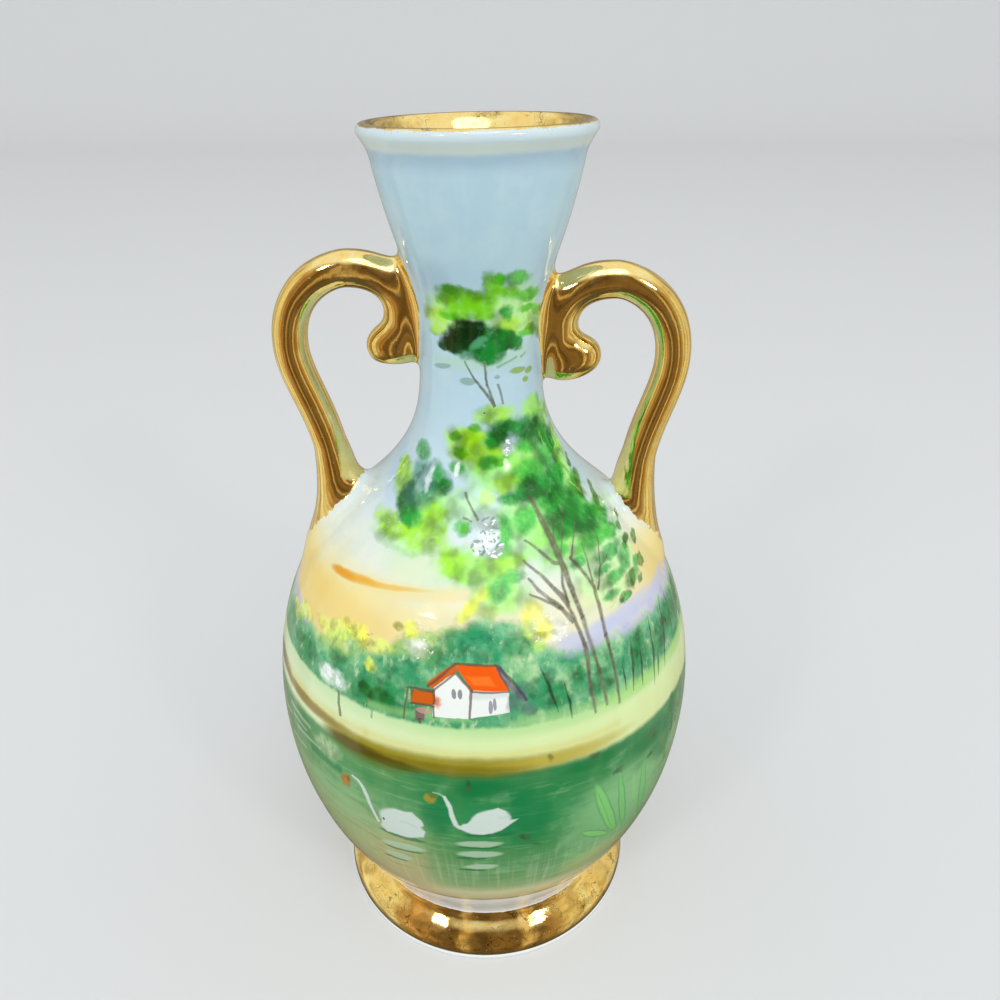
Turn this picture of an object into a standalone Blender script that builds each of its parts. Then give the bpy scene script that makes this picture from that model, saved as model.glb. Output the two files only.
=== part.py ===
"""Miniature bud vase: a round-bellied porcelain body on a flared foot ring, a trumpet neck and two scrolled handles.

The vase is fired as one piece, so it is one closed body. It is hollow and open at the mouth. It stands on its foot
ring at z = 0, its axis is the world Z axis, and its handles are at the left (-X) and right (+X) as seen from the
painted front (-Y). All lengths are in metres and all angles in radians.
"""

import math
from dataclasses import dataclass

import bmesh
import bpy
import numpy as np

# Height of the vase
TOTAL_HEIGHT = 0.1140

# Foot ring
FOOT_RADIUS = 0.0231
FOOT_EDGE_HEIGHT = 0.0012
FOOT_EDGE_ROUNDING = 0.0003
FOOT_INNER_RADIUS = 0.0172
FOOT_RECESS_DEPTH = 0.0020
WAIST_RADIUS = 0.0200
WAIST_HEIGHT = 0.0063

# Body, neck and mouth
BELLY_RADIUS = 0.0299
BELLY_HEIGHT = 0.0385
SHOULDER_RADIUS = 0.0171
SHOULDER_HEIGHT = 0.0683
SHOULDER_LEAN = math.radians(138)
NECK_RADIUS = 0.0076
NECK_HEIGHT = 0.0913
LIP_ROOT_RADIUS = 0.0118
LIP_ROOT_HEIGHT = 0.1089
LIP_ROOT_LEAN = math.radians(78)
LIP_RADIUS = 0.0134
LIP_LEAN = math.radians(55)
MOUTH_TILT = math.radians(0.9)

# Wall
WALL = 0.0022
LIP_WALL = 0.0016
FLOOR_HEIGHT = 0.0056
FLOOR_RADIUS = 0.0150

# Rod of both handles
ROD_RADIUS = 0.0022
ROD_ROOT_RADIUS = 0.0039
ROD_STEM_RADIUS = 0.0025
SCROLL_BALL_RADIUS = 0.0024
HANDLE_TURN = math.radians(3)

# How finely the round shapes are divided
BODY_SEGMENTS = 56
ROD_SEGMENTS = 12
BALL_RINGS = 8


@dataclass(frozen=True)
class Handle:
    """Where the rod of one handle runs, as distances out from the axis and heights above the foot."""

    name: str
    side: int
    root_out: float
    root_up: float
    elbow_out: float
    elbow_up: float
    arch_out: float
    arch_up: float
    stem_out: float
    stem_up: float
    pad_out: float
    pad_up: float
    ball_out: float
    ball_up: float


# The two handles are formed by hand, and the right one sits about 1.5 mm lower.
LEFT_HANDLE = Handle(
    name="left_handle",
    side=-1,
    root_out=0.0201,
    root_up=0.0605,
    elbow_out=0.0238,
    elbow_up=0.0884,
    arch_out=0.0159,
    arch_up=0.0978,
    stem_out=0.0093,
    stem_up=0.0928,
    pad_out=0.0098,
    pad_up=0.0884,
    ball_out=0.0118,
    ball_up=0.0884,
)
RIGHT_HANDLE = Handle(
    name="right_handle",
    side=1,
    root_out=0.0209,
    root_up=0.0599,
    elbow_out=0.0239,
    elbow_up=0.0872,
    arch_out=0.0163,
    arch_up=0.0966,
    stem_out=0.0095,
    stem_up=0.0912,
    pad_out=0.0102,
    pad_up=0.0863,
    ball_out=0.0126,
    ball_up=0.0873,
)


def arc(start, end, start_angle, end_angle, start_reach, end_reach, steps):
    """Points of a cubic curve from start to end, whose reaches are shares of the straight distance. End is left out."""
    start = np.array(start)
    end = np.array(end)
    chord = np.linalg.norm(end - start)
    first = start + start_reach * chord * np.array([math.cos(start_angle), math.sin(start_angle)])
    second = end - end_reach * chord * np.array([math.cos(end_angle), math.sin(end_angle)])
    t = (np.arange(steps) / steps)[:, None]
    return (1 - t) ** 3 * start + 3 * (1 - t) ** 2 * t * first + 3 * (1 - t) * t**2 * second + t**3 * end


def lip_start():
    """The outer point where the lip begins to round over, placed so that the lip's crest is at the full height."""
    half = LIP_WALL / 2
    return (LIP_RADIUS - half * (1 - math.sin(LIP_LEAN)), TOTAL_HEIGHT - half * (1 + math.cos(LIP_LEAN)))


def outer_wall(detail=1):
    """Outline of the outside from the waist up to the lip, as (radius, height) points."""
    up = math.pi / 2
    waist = (WAIST_RADIUS, WAIST_HEIGHT)
    belly = (BELLY_RADIUS, BELLY_HEIGHT)
    shoulder = (SHOULDER_RADIUS, SHOULDER_HEIGHT)
    neck = (NECK_RADIUS, NECK_HEIGHT)
    root = (LIP_ROOT_RADIUS, LIP_ROOT_HEIGHT)
    lip = lip_start()
    runs = [
        arc(waist, belly, up, up, 0.08, 0.56, 8 * detail),
        arc(belly, shoulder, up, SHOULDER_LEAN, 0.60, 0.10, 7 * detail),
        arc(shoulder, neck, SHOULDER_LEAN, up, 0.53, 0.40, 6 * detail),
        arc(neck, root, up, LIP_ROOT_LEAN, 0.37, 0.60, 4 * detail),
        arc(root, lip, LIP_ROOT_LEAN, LIP_LEAN, 0.45, 0.54, 2 * detail),
        np.array([lip]),
    ]
    return np.concatenate(runs)


def inward(points, depth):
    """The outline moved into the wall by the depth at each point."""
    along = np.gradient(points, axis=0)
    along /= np.linalg.norm(along, axis=1)[:, None]
    return points + np.stack([-along[:, 1], along[:, 0]], axis=1) * np.reshape(depth, (-1, 1))


def wall_depths(points):
    """Thickness of the wall at each outline point: even in the body, and thinner towards the lip."""
    share = np.clip((points[:, 1] - NECK_HEIGHT) / (TOTAL_HEIGHT - NECK_HEIGHT), 0, 1)
    return WALL + (LIP_WALL - WALL) * share


def closed_outline():
    """The whole outline of the body, from the middle of the underside round the outside and back down the inside."""
    up = math.pi / 2
    under = [
        (0.0, FOOT_RECESS_DEPTH),
        (0.9 * FOOT_INNER_RADIUS, FOOT_RECESS_DEPTH),
        (FOOT_INNER_RADIUS, 0.6 * FOOT_RECESS_DEPTH),
        (FOOT_INNER_RADIUS + 0.5 * FOOT_RECESS_DEPTH, 0.0),
        (FOOT_RADIUS - FOOT_EDGE_ROUNDING, 0.0),
        (FOOT_RADIUS, FOOT_EDGE_ROUNDING),
    ]
    foot = arc((FOOT_RADIUS, FOOT_EDGE_HEIGHT), (WAIST_RADIUS, WAIST_HEIGHT), up, up, 0.52, 0.22, 5)
    outside = outer_wall()
    half = LIP_WALL / 2
    lip = np.array(lip_start())
    crest_centre = lip + half * np.array([-math.sin(LIP_LEAN), math.cos(LIP_LEAN)])
    crest = [
        crest_centre + half * np.array([math.cos(a), math.sin(a)])
        for a in (LIP_LEAN - up + math.pi * k / 4 for k in range(1, 4))
    ]
    inside = inward(outside, wall_depths(outside))[::-1]
    inside = inside[inside[:, 1] > WAIST_HEIGHT + 2 * WALL]
    kept = np.concatenate([inside[:3], inside[3:-1:2], inside[-1:]])
    last = kept[-1]
    down = math.atan2(*(kept[-1] - kept[-2])[::-1])
    floor = arc(last, (FLOOR_RADIUS, FLOOR_HEIGHT), down, math.pi, 0.45, 0.45, 3)[1:]
    return np.concatenate([under, foot, outside, crest, kept, floor, [(FLOOR_RADIUS, FLOOR_HEIGHT), (0.0, FLOOR_HEIGHT)]])


def mouth_lift(x, height):
    """How much the slight tilt of the mouth lifts a point of the neck."""
    share = min(max((height - NECK_HEIGHT) / (TOTAL_HEIGHT - NECK_HEIGHT), 0.0), 1.0)
    return math.tan(MOUTH_TILT) * x * share * share * (3 - 2 * share)


def object_from(name, bm):
    """A scene object with the mesh's faces turned outwards and shaded smooth."""
    bmesh.ops.recalc_face_normals(bm, faces=bm.faces)
    mesh = bpy.data.meshes.new(name)
    bm.to_mesh(mesh)
    bm.free()
    for face in mesh.polygons:
        face.use_smooth = True
    made = bpy.data.objects.new(name, mesh)
    bpy.context.scene.collection.objects.link(made)
    return made


def bridge(bm, rings):
    """Joins each ring of vertices to the next. A ring of one vertex is a pole."""
    for first, second in zip(rings, rings[1:]):
        count = max(len(first), len(second))
        for k in range(count):
            after = (k + 1) % count
            if len(first) == 1:
                bm.faces.new((first[0], second[after], second[k]))
            elif len(second) == 1:
                bm.faces.new((first[k], first[after], second[0]))
            else:
                bm.faces.new((first[k], first[after], second[after], second[k]))


def turned_body():
    """The body of the vase, turned about the Z axis."""
    bm = bmesh.new()
    rings = []
    for radius, height in closed_outline():
        if radius == 0.0:
            rings.append([bm.verts.new((0.0, 0.0, height))])
            continue
        ring = []
        for k in range(BODY_SEGMENTS):
            angle = 2 * math.pi * k / BODY_SEGMENTS
            x = radius * math.cos(angle)
            ring.append(bm.verts.new((x, radius * math.sin(angle), height + mouth_lift(x, height))))
        rings.append(ring)
    bridge(bm, rings)
    return object_from("vase", bm)


def rod_line(handle):
    """Centre line of the rod from its pad on the neck, over the arch and down to its root, and its radius there."""
    up = math.pi / 2
    pad = (handle.pad_out, handle.pad_up)
    stem = (handle.stem_out, handle.stem_up)
    arch = (handle.arch_out, handle.arch_up)
    elbow = (handle.elbow_out, handle.elbow_up)
    root = (handle.root_out, handle.root_up)
    runs = [
        arc(pad, stem, math.radians(100), up, 0.33, 0.33, 3),
        arc(stem, arch, up, 0.0, 0.18, 0.66, 7),
        arc(arch, elbow, 0.0, -up, 0.16, 0.60, 8),
        arc(elbow, root, -up, math.radians(-81), 0.23, 0.59, 16),
        np.array([root]),
    ]
    centres = np.concatenate(runs)
    share = np.linspace(0, 1, len(centres))
    marks = [0.0, len(runs[0]) / len(centres), 0.35, 0.82, 1.0]
    radii = np.interp(share, marks, [ROD_STEM_RADIUS, ROD_STEM_RADIUS, ROD_RADIUS, ROD_RADIUS, ROD_ROOT_RADIUS])
    return centres, radii


def in_handle_plane(handle, out, across, height):
    """World place of a point of the handle, given out from the axis, across the handle's plane, and up."""
    turn = HANDLE_TURN
    x = out * math.cos(turn) + across * math.sin(turn)
    y = across * math.cos(turn) - out * math.sin(turn)
    return (handle.side * x, handle.side * y, height)


def surface_point(centres, radii, place, angle):
    """Point of the rod's surface at a place along its line, as (out, across, height)."""
    steps = np.arange(len(centres))
    out = np.interp(place, steps, centres[:, 0])
    up = np.interp(place, steps, centres[:, 1])
    along = np.gradient(centres, axis=0)
    way_out = np.interp(place, steps, along[:, 0])
    way_up = np.interp(place, steps, along[:, 1])
    length = math.hypot(way_out, way_up)
    radius = np.interp(place, steps, radii)
    side = radius * math.cos(angle) / length
    return (out - way_up * side, radius * math.sin(angle), up + way_out * side)


def depth_in_wall(point, outline):
    """How far inside the outside of the body a point is, measured across the axis."""
    out, across, height = point
    return np.interp(height, outline[:, 1], outline[:, 0]) - math.hypot(out, across)


def handle_rod(handle):
    """The rod of one handle, with a rounded end on the neck and a root that ends half way into the body's wall."""
    centres, radii = rod_line(handle)
    outline = outer_wall(detail=4)
    slope = 1 / math.sin(SHOULDER_LEAN)
    target = 0.5 * WALL * slope
    last = len(centres) - 1
    sunk = int(0.75 * last)
    bm = bmesh.new()
    angles = [2 * math.pi * k / ROD_SEGMENTS for k in range(ROD_SEGMENTS)]

    def end_place(angle, share):
        """Where along the line a lengthwise strip of the rod reaches the middle of the wall."""
        low = sunk
        high = last
        for _ in range(30):
            middle = 0.5 * (low + high)
            out, across, height = surface_point(centres, radii * share, middle, angle)
            if depth_in_wall((out, across, height), outline) < target:
                low = middle
            else:
                high = middle
        return high

    first_way = centres[1] - centres[0]
    first_way /= np.linalg.norm(first_way)
    pole = centres[0] - first_way * radii[0]
    rings = [[bm.verts.new(in_handle_plane(handle, pole[0], 0.0, pole[1]))]]
    for tilt in (math.radians(35), math.radians(65)):
        ring = []
        centre = centres[0] - first_way * radii[0] * math.cos(tilt)
        for angle in angles:
            reach = radii[0] * math.sin(tilt)
            out = centre[0] - first_way[1] * reach * math.cos(angle)
            up = centre[1] + first_way[0] * reach * math.cos(angle)
            ring.append(bm.verts.new(in_handle_plane(handle, out, reach * math.sin(angle), up)))
        rings.append(ring)
    for k in range(last + 1):
        ring = []
        for angle in angles:
            place = float(k)
            if k > sunk:
                place = sunk + (end_place(angle, 1.0) - sunk) * (k - sunk) / (last - sunk)
            out, across, up = surface_point(centres, radii, place, angle)
            ring.append(bm.verts.new(in_handle_plane(handle, out, across, up)))
        rings.append(ring)
    out, across, up = surface_point(centres, radii * 0.0, end_place(0.0, 0.0), 0.0)
    rings.append([bm.verts.new(in_handle_plane(handle, out, across, up))])
    bridge(bm, rings)
    return object_from(handle.name, bm)


def scroll_ball(handle):
    """The ball that ends the scroll, beside the rod's stem on the neck."""
    bm = bmesh.new()
    x, y, z = in_handle_plane(handle, handle.ball_out, 0.0, handle.ball_up)
    bmesh.ops.create_uvsphere(bm, u_segments=ROD_SEGMENTS, v_segments=BALL_RINGS, radius=SCROLL_BALL_RADIUS)
    bmesh.ops.translate(bm, verts=bm.verts, vec=(x, y, z))
    return object_from(handle.name + "_ball", bm)


def join(vase, piece):
    """Fuses a piece to the vase and leaves the piece as a hidden guide."""
    piece.hide_render = True
    piece.display_type = "WIRE"
    union = vase.modifiers.new(piece.name, "BOOLEAN")
    union.operation = "UNION"
    union.solver = "EXACT"
    union.object = piece


def glazed_porcelain():
    """White porcelain under a clear, smooth glaze."""
    material = bpy.data.materials.new("glazed_porcelain")
    material.use_nodes = True
    shader = material.node_tree.nodes["Principled BSDF"]
    shader.inputs["Base Color"].default_value = (0.80, 0.82, 0.80, 1.0)
    shader.inputs["Roughness"].default_value = 0.15
    return material


def build():
    """Clears the scene and makes the vase."""
    for old in list(bpy.data.objects):
        bpy.data.objects.remove(old)
    vase = turned_body()
    for handle in (LEFT_HANDLE, RIGHT_HANDLE):
        join(vase, handle_rod(handle))
        join(vase, scroll_ball(handle))
    vase.data.materials.append(glazed_porcelain())


build()
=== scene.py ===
"""Dresses the miniature bud vase: a finely turned porcelain body with fused, gilded handles and a painted lake scene.

All shapes are worked out in millimetres and made in metres. The vase's axis is Z, it stands on z = 0, and its painted
front faces -Y. A place on its surface is given by its turn from the front in degrees, positive towards the right
handle, and its run: the distance in millimetres along the outline, from the waist above the foot ring upwards.
"""

import logging
import math
from dataclasses import dataclass, field
from enum import Enum

import bpy
import numpy as np
from mathutils import Matrix, Vector, noise
from mathutils.kdtree import KDTree


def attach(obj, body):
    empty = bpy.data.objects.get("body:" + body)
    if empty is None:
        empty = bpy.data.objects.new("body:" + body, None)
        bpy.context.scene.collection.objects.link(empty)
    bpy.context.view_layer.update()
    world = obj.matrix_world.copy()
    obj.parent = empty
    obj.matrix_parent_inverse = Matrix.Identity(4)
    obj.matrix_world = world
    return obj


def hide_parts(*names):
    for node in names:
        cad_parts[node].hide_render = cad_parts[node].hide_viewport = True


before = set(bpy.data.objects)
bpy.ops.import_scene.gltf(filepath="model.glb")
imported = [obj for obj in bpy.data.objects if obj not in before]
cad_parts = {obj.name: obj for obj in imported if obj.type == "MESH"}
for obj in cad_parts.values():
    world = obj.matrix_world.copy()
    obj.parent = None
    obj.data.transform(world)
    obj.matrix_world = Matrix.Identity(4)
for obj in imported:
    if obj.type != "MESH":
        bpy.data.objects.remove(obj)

log = logging.getLogger("bud_vase")

Pair = tuple[float, float]
Socket = bpy.types.NodeSocket
Tree = bpy.types.NodeTree

MM = 0.001
UP = math.pi / 2
TINY = 1e-9


def srgb(red: float, green: float, blue: float) -> tuple[float, float, float, float]:
    """A paint colour named as it looks on screen, from 0 to 255, as linear light."""
    shares = [value / 255 for value in (red, green, blue)]
    linear = [s / 12.92 if s <= 0.04045 else ((s + 0.055) / 1.055) ** 2.4 for s in shares]
    return (*linear, 1.0)


def smooth_share(share: np.ndarray) -> np.ndarray:
    """Eases a share from 0 to 1, flat at both ends."""
    held = np.clip(share, 0.0, 1.0)
    return held * held * (3 - 2 * held)


def arc(start: tuple, end: tuple, leave: float, arrive: float, first: float, second: float, steps: int) -> np.ndarray:
    """Points of a cubic curve in a plane, without its end.

    Args:
        start: First point.
        end: Last point, which is left out.
        leave: Direction at the start, in radians.
        arrive: Direction at the end, in radians.
        first: Reach of the start's handle, as a share of the straight distance.
        second: Reach of the end's handle, as a share of the straight distance.
        steps: Number of points.

    Returns:
        An array of steps points.
    """
    begin = np.array(start, float)
    finish = np.array(end, float)
    chord = np.linalg.norm(finish - begin)
    out = begin + first * chord * np.array([math.cos(leave), math.sin(leave)])
    into = finish - second * chord * np.array([math.cos(arrive), math.sin(arrive)])
    t = (np.arange(steps) / steps)[:, None]
    return (1 - t) ** 3 * begin + 3 * (1 - t) ** 2 * t * out + 3 * (1 - t) * t**2 * into + t**3 * finish


def mesh_object(name: str, points: np.ndarray, faces: list) -> bpy.types.Object:
    """A linked mesh object.

    Args:
        name: The object's name.
        points: Vertices in millimetres.
        faces: Faces as lists of vertex numbers, turned outwards.

    Returns:
        The object, shaded smooth.
    """
    mesh = bpy.data.meshes.new(name)
    mesh.from_pydata((np.asarray(points) * MM).tolist(), [], faces)
    mesh.shade_smooth()
    made = bpy.data.objects.new(name, mesh)
    bpy.context.scene.collection.objects.link(made)
    return made


def ring_faces(rings: list[list[int]]) -> list[tuple[int, ...]]:
    """Faces between rings of vertex numbers, each ring joined to the next. A ring of one vertex is a pole."""
    faces = []
    for low, high in zip(rings, rings[1:]):
        count = max(len(low), len(high))
        for k in range(count):
            after = (k + 1) % count
            if len(low) == 1:
                faces.append((low[0], high[after], high[k]))
            elif len(high) == 1:
                faces.append((low[k], low[after], high[0]))
            else:
                faces.append((low[k], low[after], high[after], high[k]))
    return faces


@dataclass(frozen=True)
class BodyForm:
    """The turned body: its outline and wall, in millimetres, as radii and heights."""

    height: float = 114.0
    foot_radius: float = 23.1
    foot_edge: float = 1.2
    foot_rounding: float = 0.3
    foot_inner_radius: float = 17.2
    foot_recess: float = 2.0
    waist: Pair = (20.0, 6.3)
    belly: Pair = (29.9, 38.5)
    shoulder: Pair = (17.1, 68.3)
    shoulder_lean: float = math.radians(138)
    neck: Pair = (7.6, 91.3)
    lip_root: Pair = (11.8, 108.9)
    lip_root_lean: float = math.radians(78)
    lip_radius: float = 13.4
    lip_lean: float = math.radians(55)
    mouth_tilt: float = math.radians(0.9)
    wall: float = 2.2
    lip_wall: float = 1.6
    floor: Pair = (15.0, 5.6)
    segments: int = 192

    def lip_start(self) -> Pair:
        """The outer point where the lip begins to round over."""
        half = self.lip_wall / 2
        out = self.lip_radius - half * (1 - math.sin(self.lip_lean))
        return (out, self.height - half * (1 + math.cos(self.lip_lean)))

    def foot(self, detail: int) -> np.ndarray:
        """Outline of the flared foot ring, from its lower edge up to the waist."""
        return arc((self.foot_radius, self.foot_edge), self.waist, UP, UP, 0.52, 0.22, 4 * detail)

    def wall_outline(self, detail: int) -> np.ndarray:
        """Outline from the waist up to the lip, with detail times as many points as the plainest one."""
        lip = self.lip_start()
        runs = [
            arc(self.waist, self.belly, UP, UP, 0.08, 0.56, 8 * detail),
            arc(self.belly, self.shoulder, UP, self.shoulder_lean, 0.60, 0.10, 8 * detail),
            arc(self.shoulder, self.neck, self.shoulder_lean, UP, 0.53, 0.40, 7 * detail),
            arc(self.neck, self.lip_root, UP, self.lip_root_lean, 0.37, 0.60, 4 * detail),
            arc(self.lip_root, lip, self.lip_root_lean, self.lip_lean, 0.45, 0.54, 2 * detail),
            np.array([lip]),
        ]
        return np.concatenate(runs)

    def outside(self, detail: int) -> np.ndarray:
        """The whole outline that shows, from the plane it stands on up to the lip."""
        edge = [(self.foot_radius, 0.0)]
        return np.concatenate([edge, self.foot(detail), self.wall_outline(detail)])

    def inset(self, points: np.ndarray, depth: np.ndarray | float) -> np.ndarray:
        """The outline moved into the wall by a depth."""
        along = np.gradient(points, axis=0)
        along /= np.linalg.norm(along, axis=1)[:, None]
        return points + np.stack([-along[:, 1], along[:, 0]], axis=1) * np.reshape(depth, (-1, 1))

    def neck_share(self, heights: np.ndarray) -> np.ndarray:
        """How far up the neck a height is: 0 at its narrowest place and 1 at the crest of the lip."""
        return np.clip((heights - self.neck[1]) / (self.height - self.neck[1]), 0, 1)

    def tilt(self, x: np.ndarray, heights: np.ndarray) -> np.ndarray:
        """How much the slight tilt of the mouth lifts points of the neck."""
        return math.tan(self.mouth_tilt) * x * smooth_share(self.neck_share(heights))

    def closed_outline(self) -> np.ndarray:
        """The outline from the middle of the underside round the outside, over the lip and down to the inner floor."""
        recess = self.foot_recess
        inner = self.foot_inner_radius
        edge = self.foot_radius
        rounding = self.foot_rounding
        under = [(share * inner, recess) for share in (0.0, 0.3, 0.6, 0.9)]
        under += [(0.97 * inner, 0.92 * recess), (inner, 0.6 * recess), (inner + 0.4, 0.3), (inner + 1.0, 0.0)]
        under += [(0.5 * (inner + edge), 0.0), (edge - rounding, 0.0)]
        under += [(edge - 0.3 * rounding, 0.3 * rounding), (edge, rounding), (edge, 0.6 * self.foot_edge)]
        outside = self.wall_outline(5)
        half = self.lip_wall / 2
        middle = outside[-1] + half * np.array([-math.sin(self.lip_lean), math.cos(self.lip_lean)])
        turns = self.lip_lean - UP + math.pi * np.arange(1, 12) / 12
        crest = middle + half * np.stack([np.cos(turns), np.sin(turns)], axis=1)
        depth = self.wall + (self.lip_wall - self.wall) * self.neck_share(outside[:, 1])
        inside = self.inset(outside, depth)[::-1]
        inside = inside[inside[:, 1] > self.waist[1] + 2 * self.wall]
        inside = np.concatenate([inside[:24], inside[24:-1:3], inside[-1:]])
        down = math.atan2(*(inside[-1] - inside[-2])[::-1])
        floor = arc(tuple(inside[-1]), self.floor, down, math.pi, 0.45, 0.45, 10)[1:]
        base = [(share * self.floor[0], self.floor[1]) for share in (1.0, 0.6, 0.2, 0.0)]
        return np.concatenate([under, self.foot(5), outside, crest, inside, floor, base])

    def turned(self, name: str, outline: np.ndarray, segments: int) -> bpy.types.Object:
        """A solid turned about the axis.

        Args:
            name: The object's name.
            outline: Radii and heights, which start and end on the axis.
            segments: Number of divisions round the axis.

        Returns:
            The mesh object.
        """
        angles = 2 * math.pi * np.arange(segments) / segments
        points = []
        rings = []
        for radius, height in outline:
            spokes = np.zeros(1) if radius < 1e-6 else angles
            x = radius * np.cos(spokes)
            y = radius * np.sin(spokes)
            z = height + self.tilt(x, np.full(len(x), height))
            rings.append(list(range(len(points), len(points) + len(x))))
            points.extend(np.stack([x, y, z], axis=1))
        return mesh_object(name, np.array(points), ring_faces(rings))


@dataclass(frozen=True)
class HandleForm:
    """One handle: where its rod runs, as distances out from the axis and heights, and how it joins, in millimetres."""

    name: str
    side: int
    root: Pair
    elbow: Pair
    arch: Pair
    stem: Pair
    pad: Pair
    ball: Pair
    root_fillet: float
    rod_radius: float = 2.2
    root_radius: float = 3.9
    stem_radius: float = 2.5
    ball_radius: float = 2.4
    turn: float = math.radians(3)
    scroll_fillet: float = 1.8
    scroll_cut: float = 2.25
    detail: int = 4

    def line(self) -> tuple[np.ndarray, np.ndarray]:
        """Centre line of the rod from its pad on the neck, over the arch and down to its root, and its radii."""
        detail = self.detail
        runs = [
            arc(self.pad, self.stem, math.radians(100), UP, 0.33, 0.33, 3 * detail),
            arc(self.stem, self.arch, UP, 0.0, 0.18, 0.66, 7 * detail),
            arc(self.arch, self.elbow, 0.0, -UP, 0.16, 0.60, 8 * detail),
            arc(self.elbow, self.root, -UP, math.radians(-81), 0.23, 0.59, 16 * detail),
            np.array([self.root]),
        ]
        centres = np.concatenate(runs)
        share = np.linspace(0, 1, len(centres))
        marks = [0.0, 0.086, 0.35, 0.82, 1.0]
        radii = np.interp(share, marks, [self.stem_radius] * 2 + [self.rod_radius] * 2 + [self.root_radius])
        return centres, radii

    def placed(self, out: np.ndarray, across: np.ndarray, height: np.ndarray) -> np.ndarray:
        """World places of points given out from the axis, across the handle's plane, and up."""
        x = out * math.cos(self.turn) + across * math.sin(self.turn)
        y = across * math.cos(self.turn) - out * math.sin(self.turn)
        return np.stack([self.side * x, self.side * y, height], axis=-1)

    def ball_centre(self) -> np.ndarray:
        """World place of the middle of the scroll's ball."""
        return self.placed(np.array(self.ball[0]), np.array(0.0), np.array(self.ball[1]))

    def corners(self) -> tuple[np.ndarray, np.ndarray]:
        """Lowest and highest corner of a box that holds the handle and its fillets."""
        width = self.root_radius + 5
        ends = self.side * np.array([2.5, self.elbow[0] + self.rod_radius + 1.0])
        low = np.array([ends.min(), -width, self.root[1] - 8.0])
        high = np.array([ends.max(), width, self.arch[1] + self.rod_radius + 5.0])
        return low, high


def soft_union(first: np.ndarray, second: np.ndarray, reach: np.ndarray | float) -> tuple[np.ndarray, np.ndarray]:
    """Joins two distances with a fillet.

    Args:
        first: Distances to the first shape.
        second: Distances to the second shape.
        reach: How far from both shapes the fillet acts.

    Returns:
        The joined distances, and the share of the second shape's slope in them.
    """
    near = np.maximum(reach - np.abs(first - second), 0) / reach
    joined = np.minimum(first, second) - near * near * reach / 4
    return joined, np.where(first < second, near / 2, 1 - near / 2)


def surface_net(values: np.ndarray, low: np.ndarray, step: float) -> tuple[np.ndarray, list]:
    """Meshes the surface where values on a grid pass through zero.

    Args:
        values: Heights above the surface at the grid's points, negative inside.
        low: Place of the grid's first point.
        step: Distance between the grid's points.

    Returns:
        The surface's vertices and its four-sided faces, turned outwards.
    """
    cells = np.array(values.shape) - 1
    total = np.zeros((*cells, 3))
    count = np.zeros(cells)
    inside = values < 0
    for axis in range(3):
        others = [k for k in range(3) if k != axis]
        for corner in ((0, 0), (0, 1), (1, 0), (1, 1)):
            start = np.zeros(3, int)
            start[others] = corner
            end = start.copy()
            end[axis] = 1
            first = tuple(slice(a, a + n) for a, n in zip(start, cells))
            second = tuple(slice(a, a + n) for a, n in zip(end, cells))
            crossed = inside[first] != inside[second]
            drop = np.where(crossed, values[first] - values[second], 1.0)
            share = np.where(crossed, values[first] / drop, 0.0)
            for k in range(3):
                total[..., k] += crossed * (start[k] + (share if k == axis else 0.0))
            count += crossed
    held = count > 0
    numbers = np.full(tuple(cells), -1)
    numbers[held] = np.arange(held.sum())
    points = low + step * (np.argwhere(held) + total[held] / count[held][:, None])
    faces = []
    for axis in range(3):
        first = tuple(slice(0, -1) if k == axis else slice(1, -1) for k in range(3))
        second = tuple(slice(1, None) if k == axis else slice(1, -1) for k in range(3))
        leaving = inside[first] & ~inside[second]
        entering = ~inside[first] & inside[second]
        others = [k for k in range(3) if k != axis]
        for crossed, order in ((leaving, (0, 1, 2, 3)), (entering, (3, 2, 1, 0))):
            base = np.argwhere(crossed)
            around = []
            for shift in ((0, 0), (1, 0), (1, 1), (0, 1)):
                place = base.copy()
                place[:, others[0]] += shift[0]
                place[:, others[1]] += shift[1]
                around.append(numbers[tuple(place.T)])
            turned = order if axis != 1 else order[::-1]
            faces.extend(np.stack([around[k] for k in turned], axis=1).tolist())
    return points, faces


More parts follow.
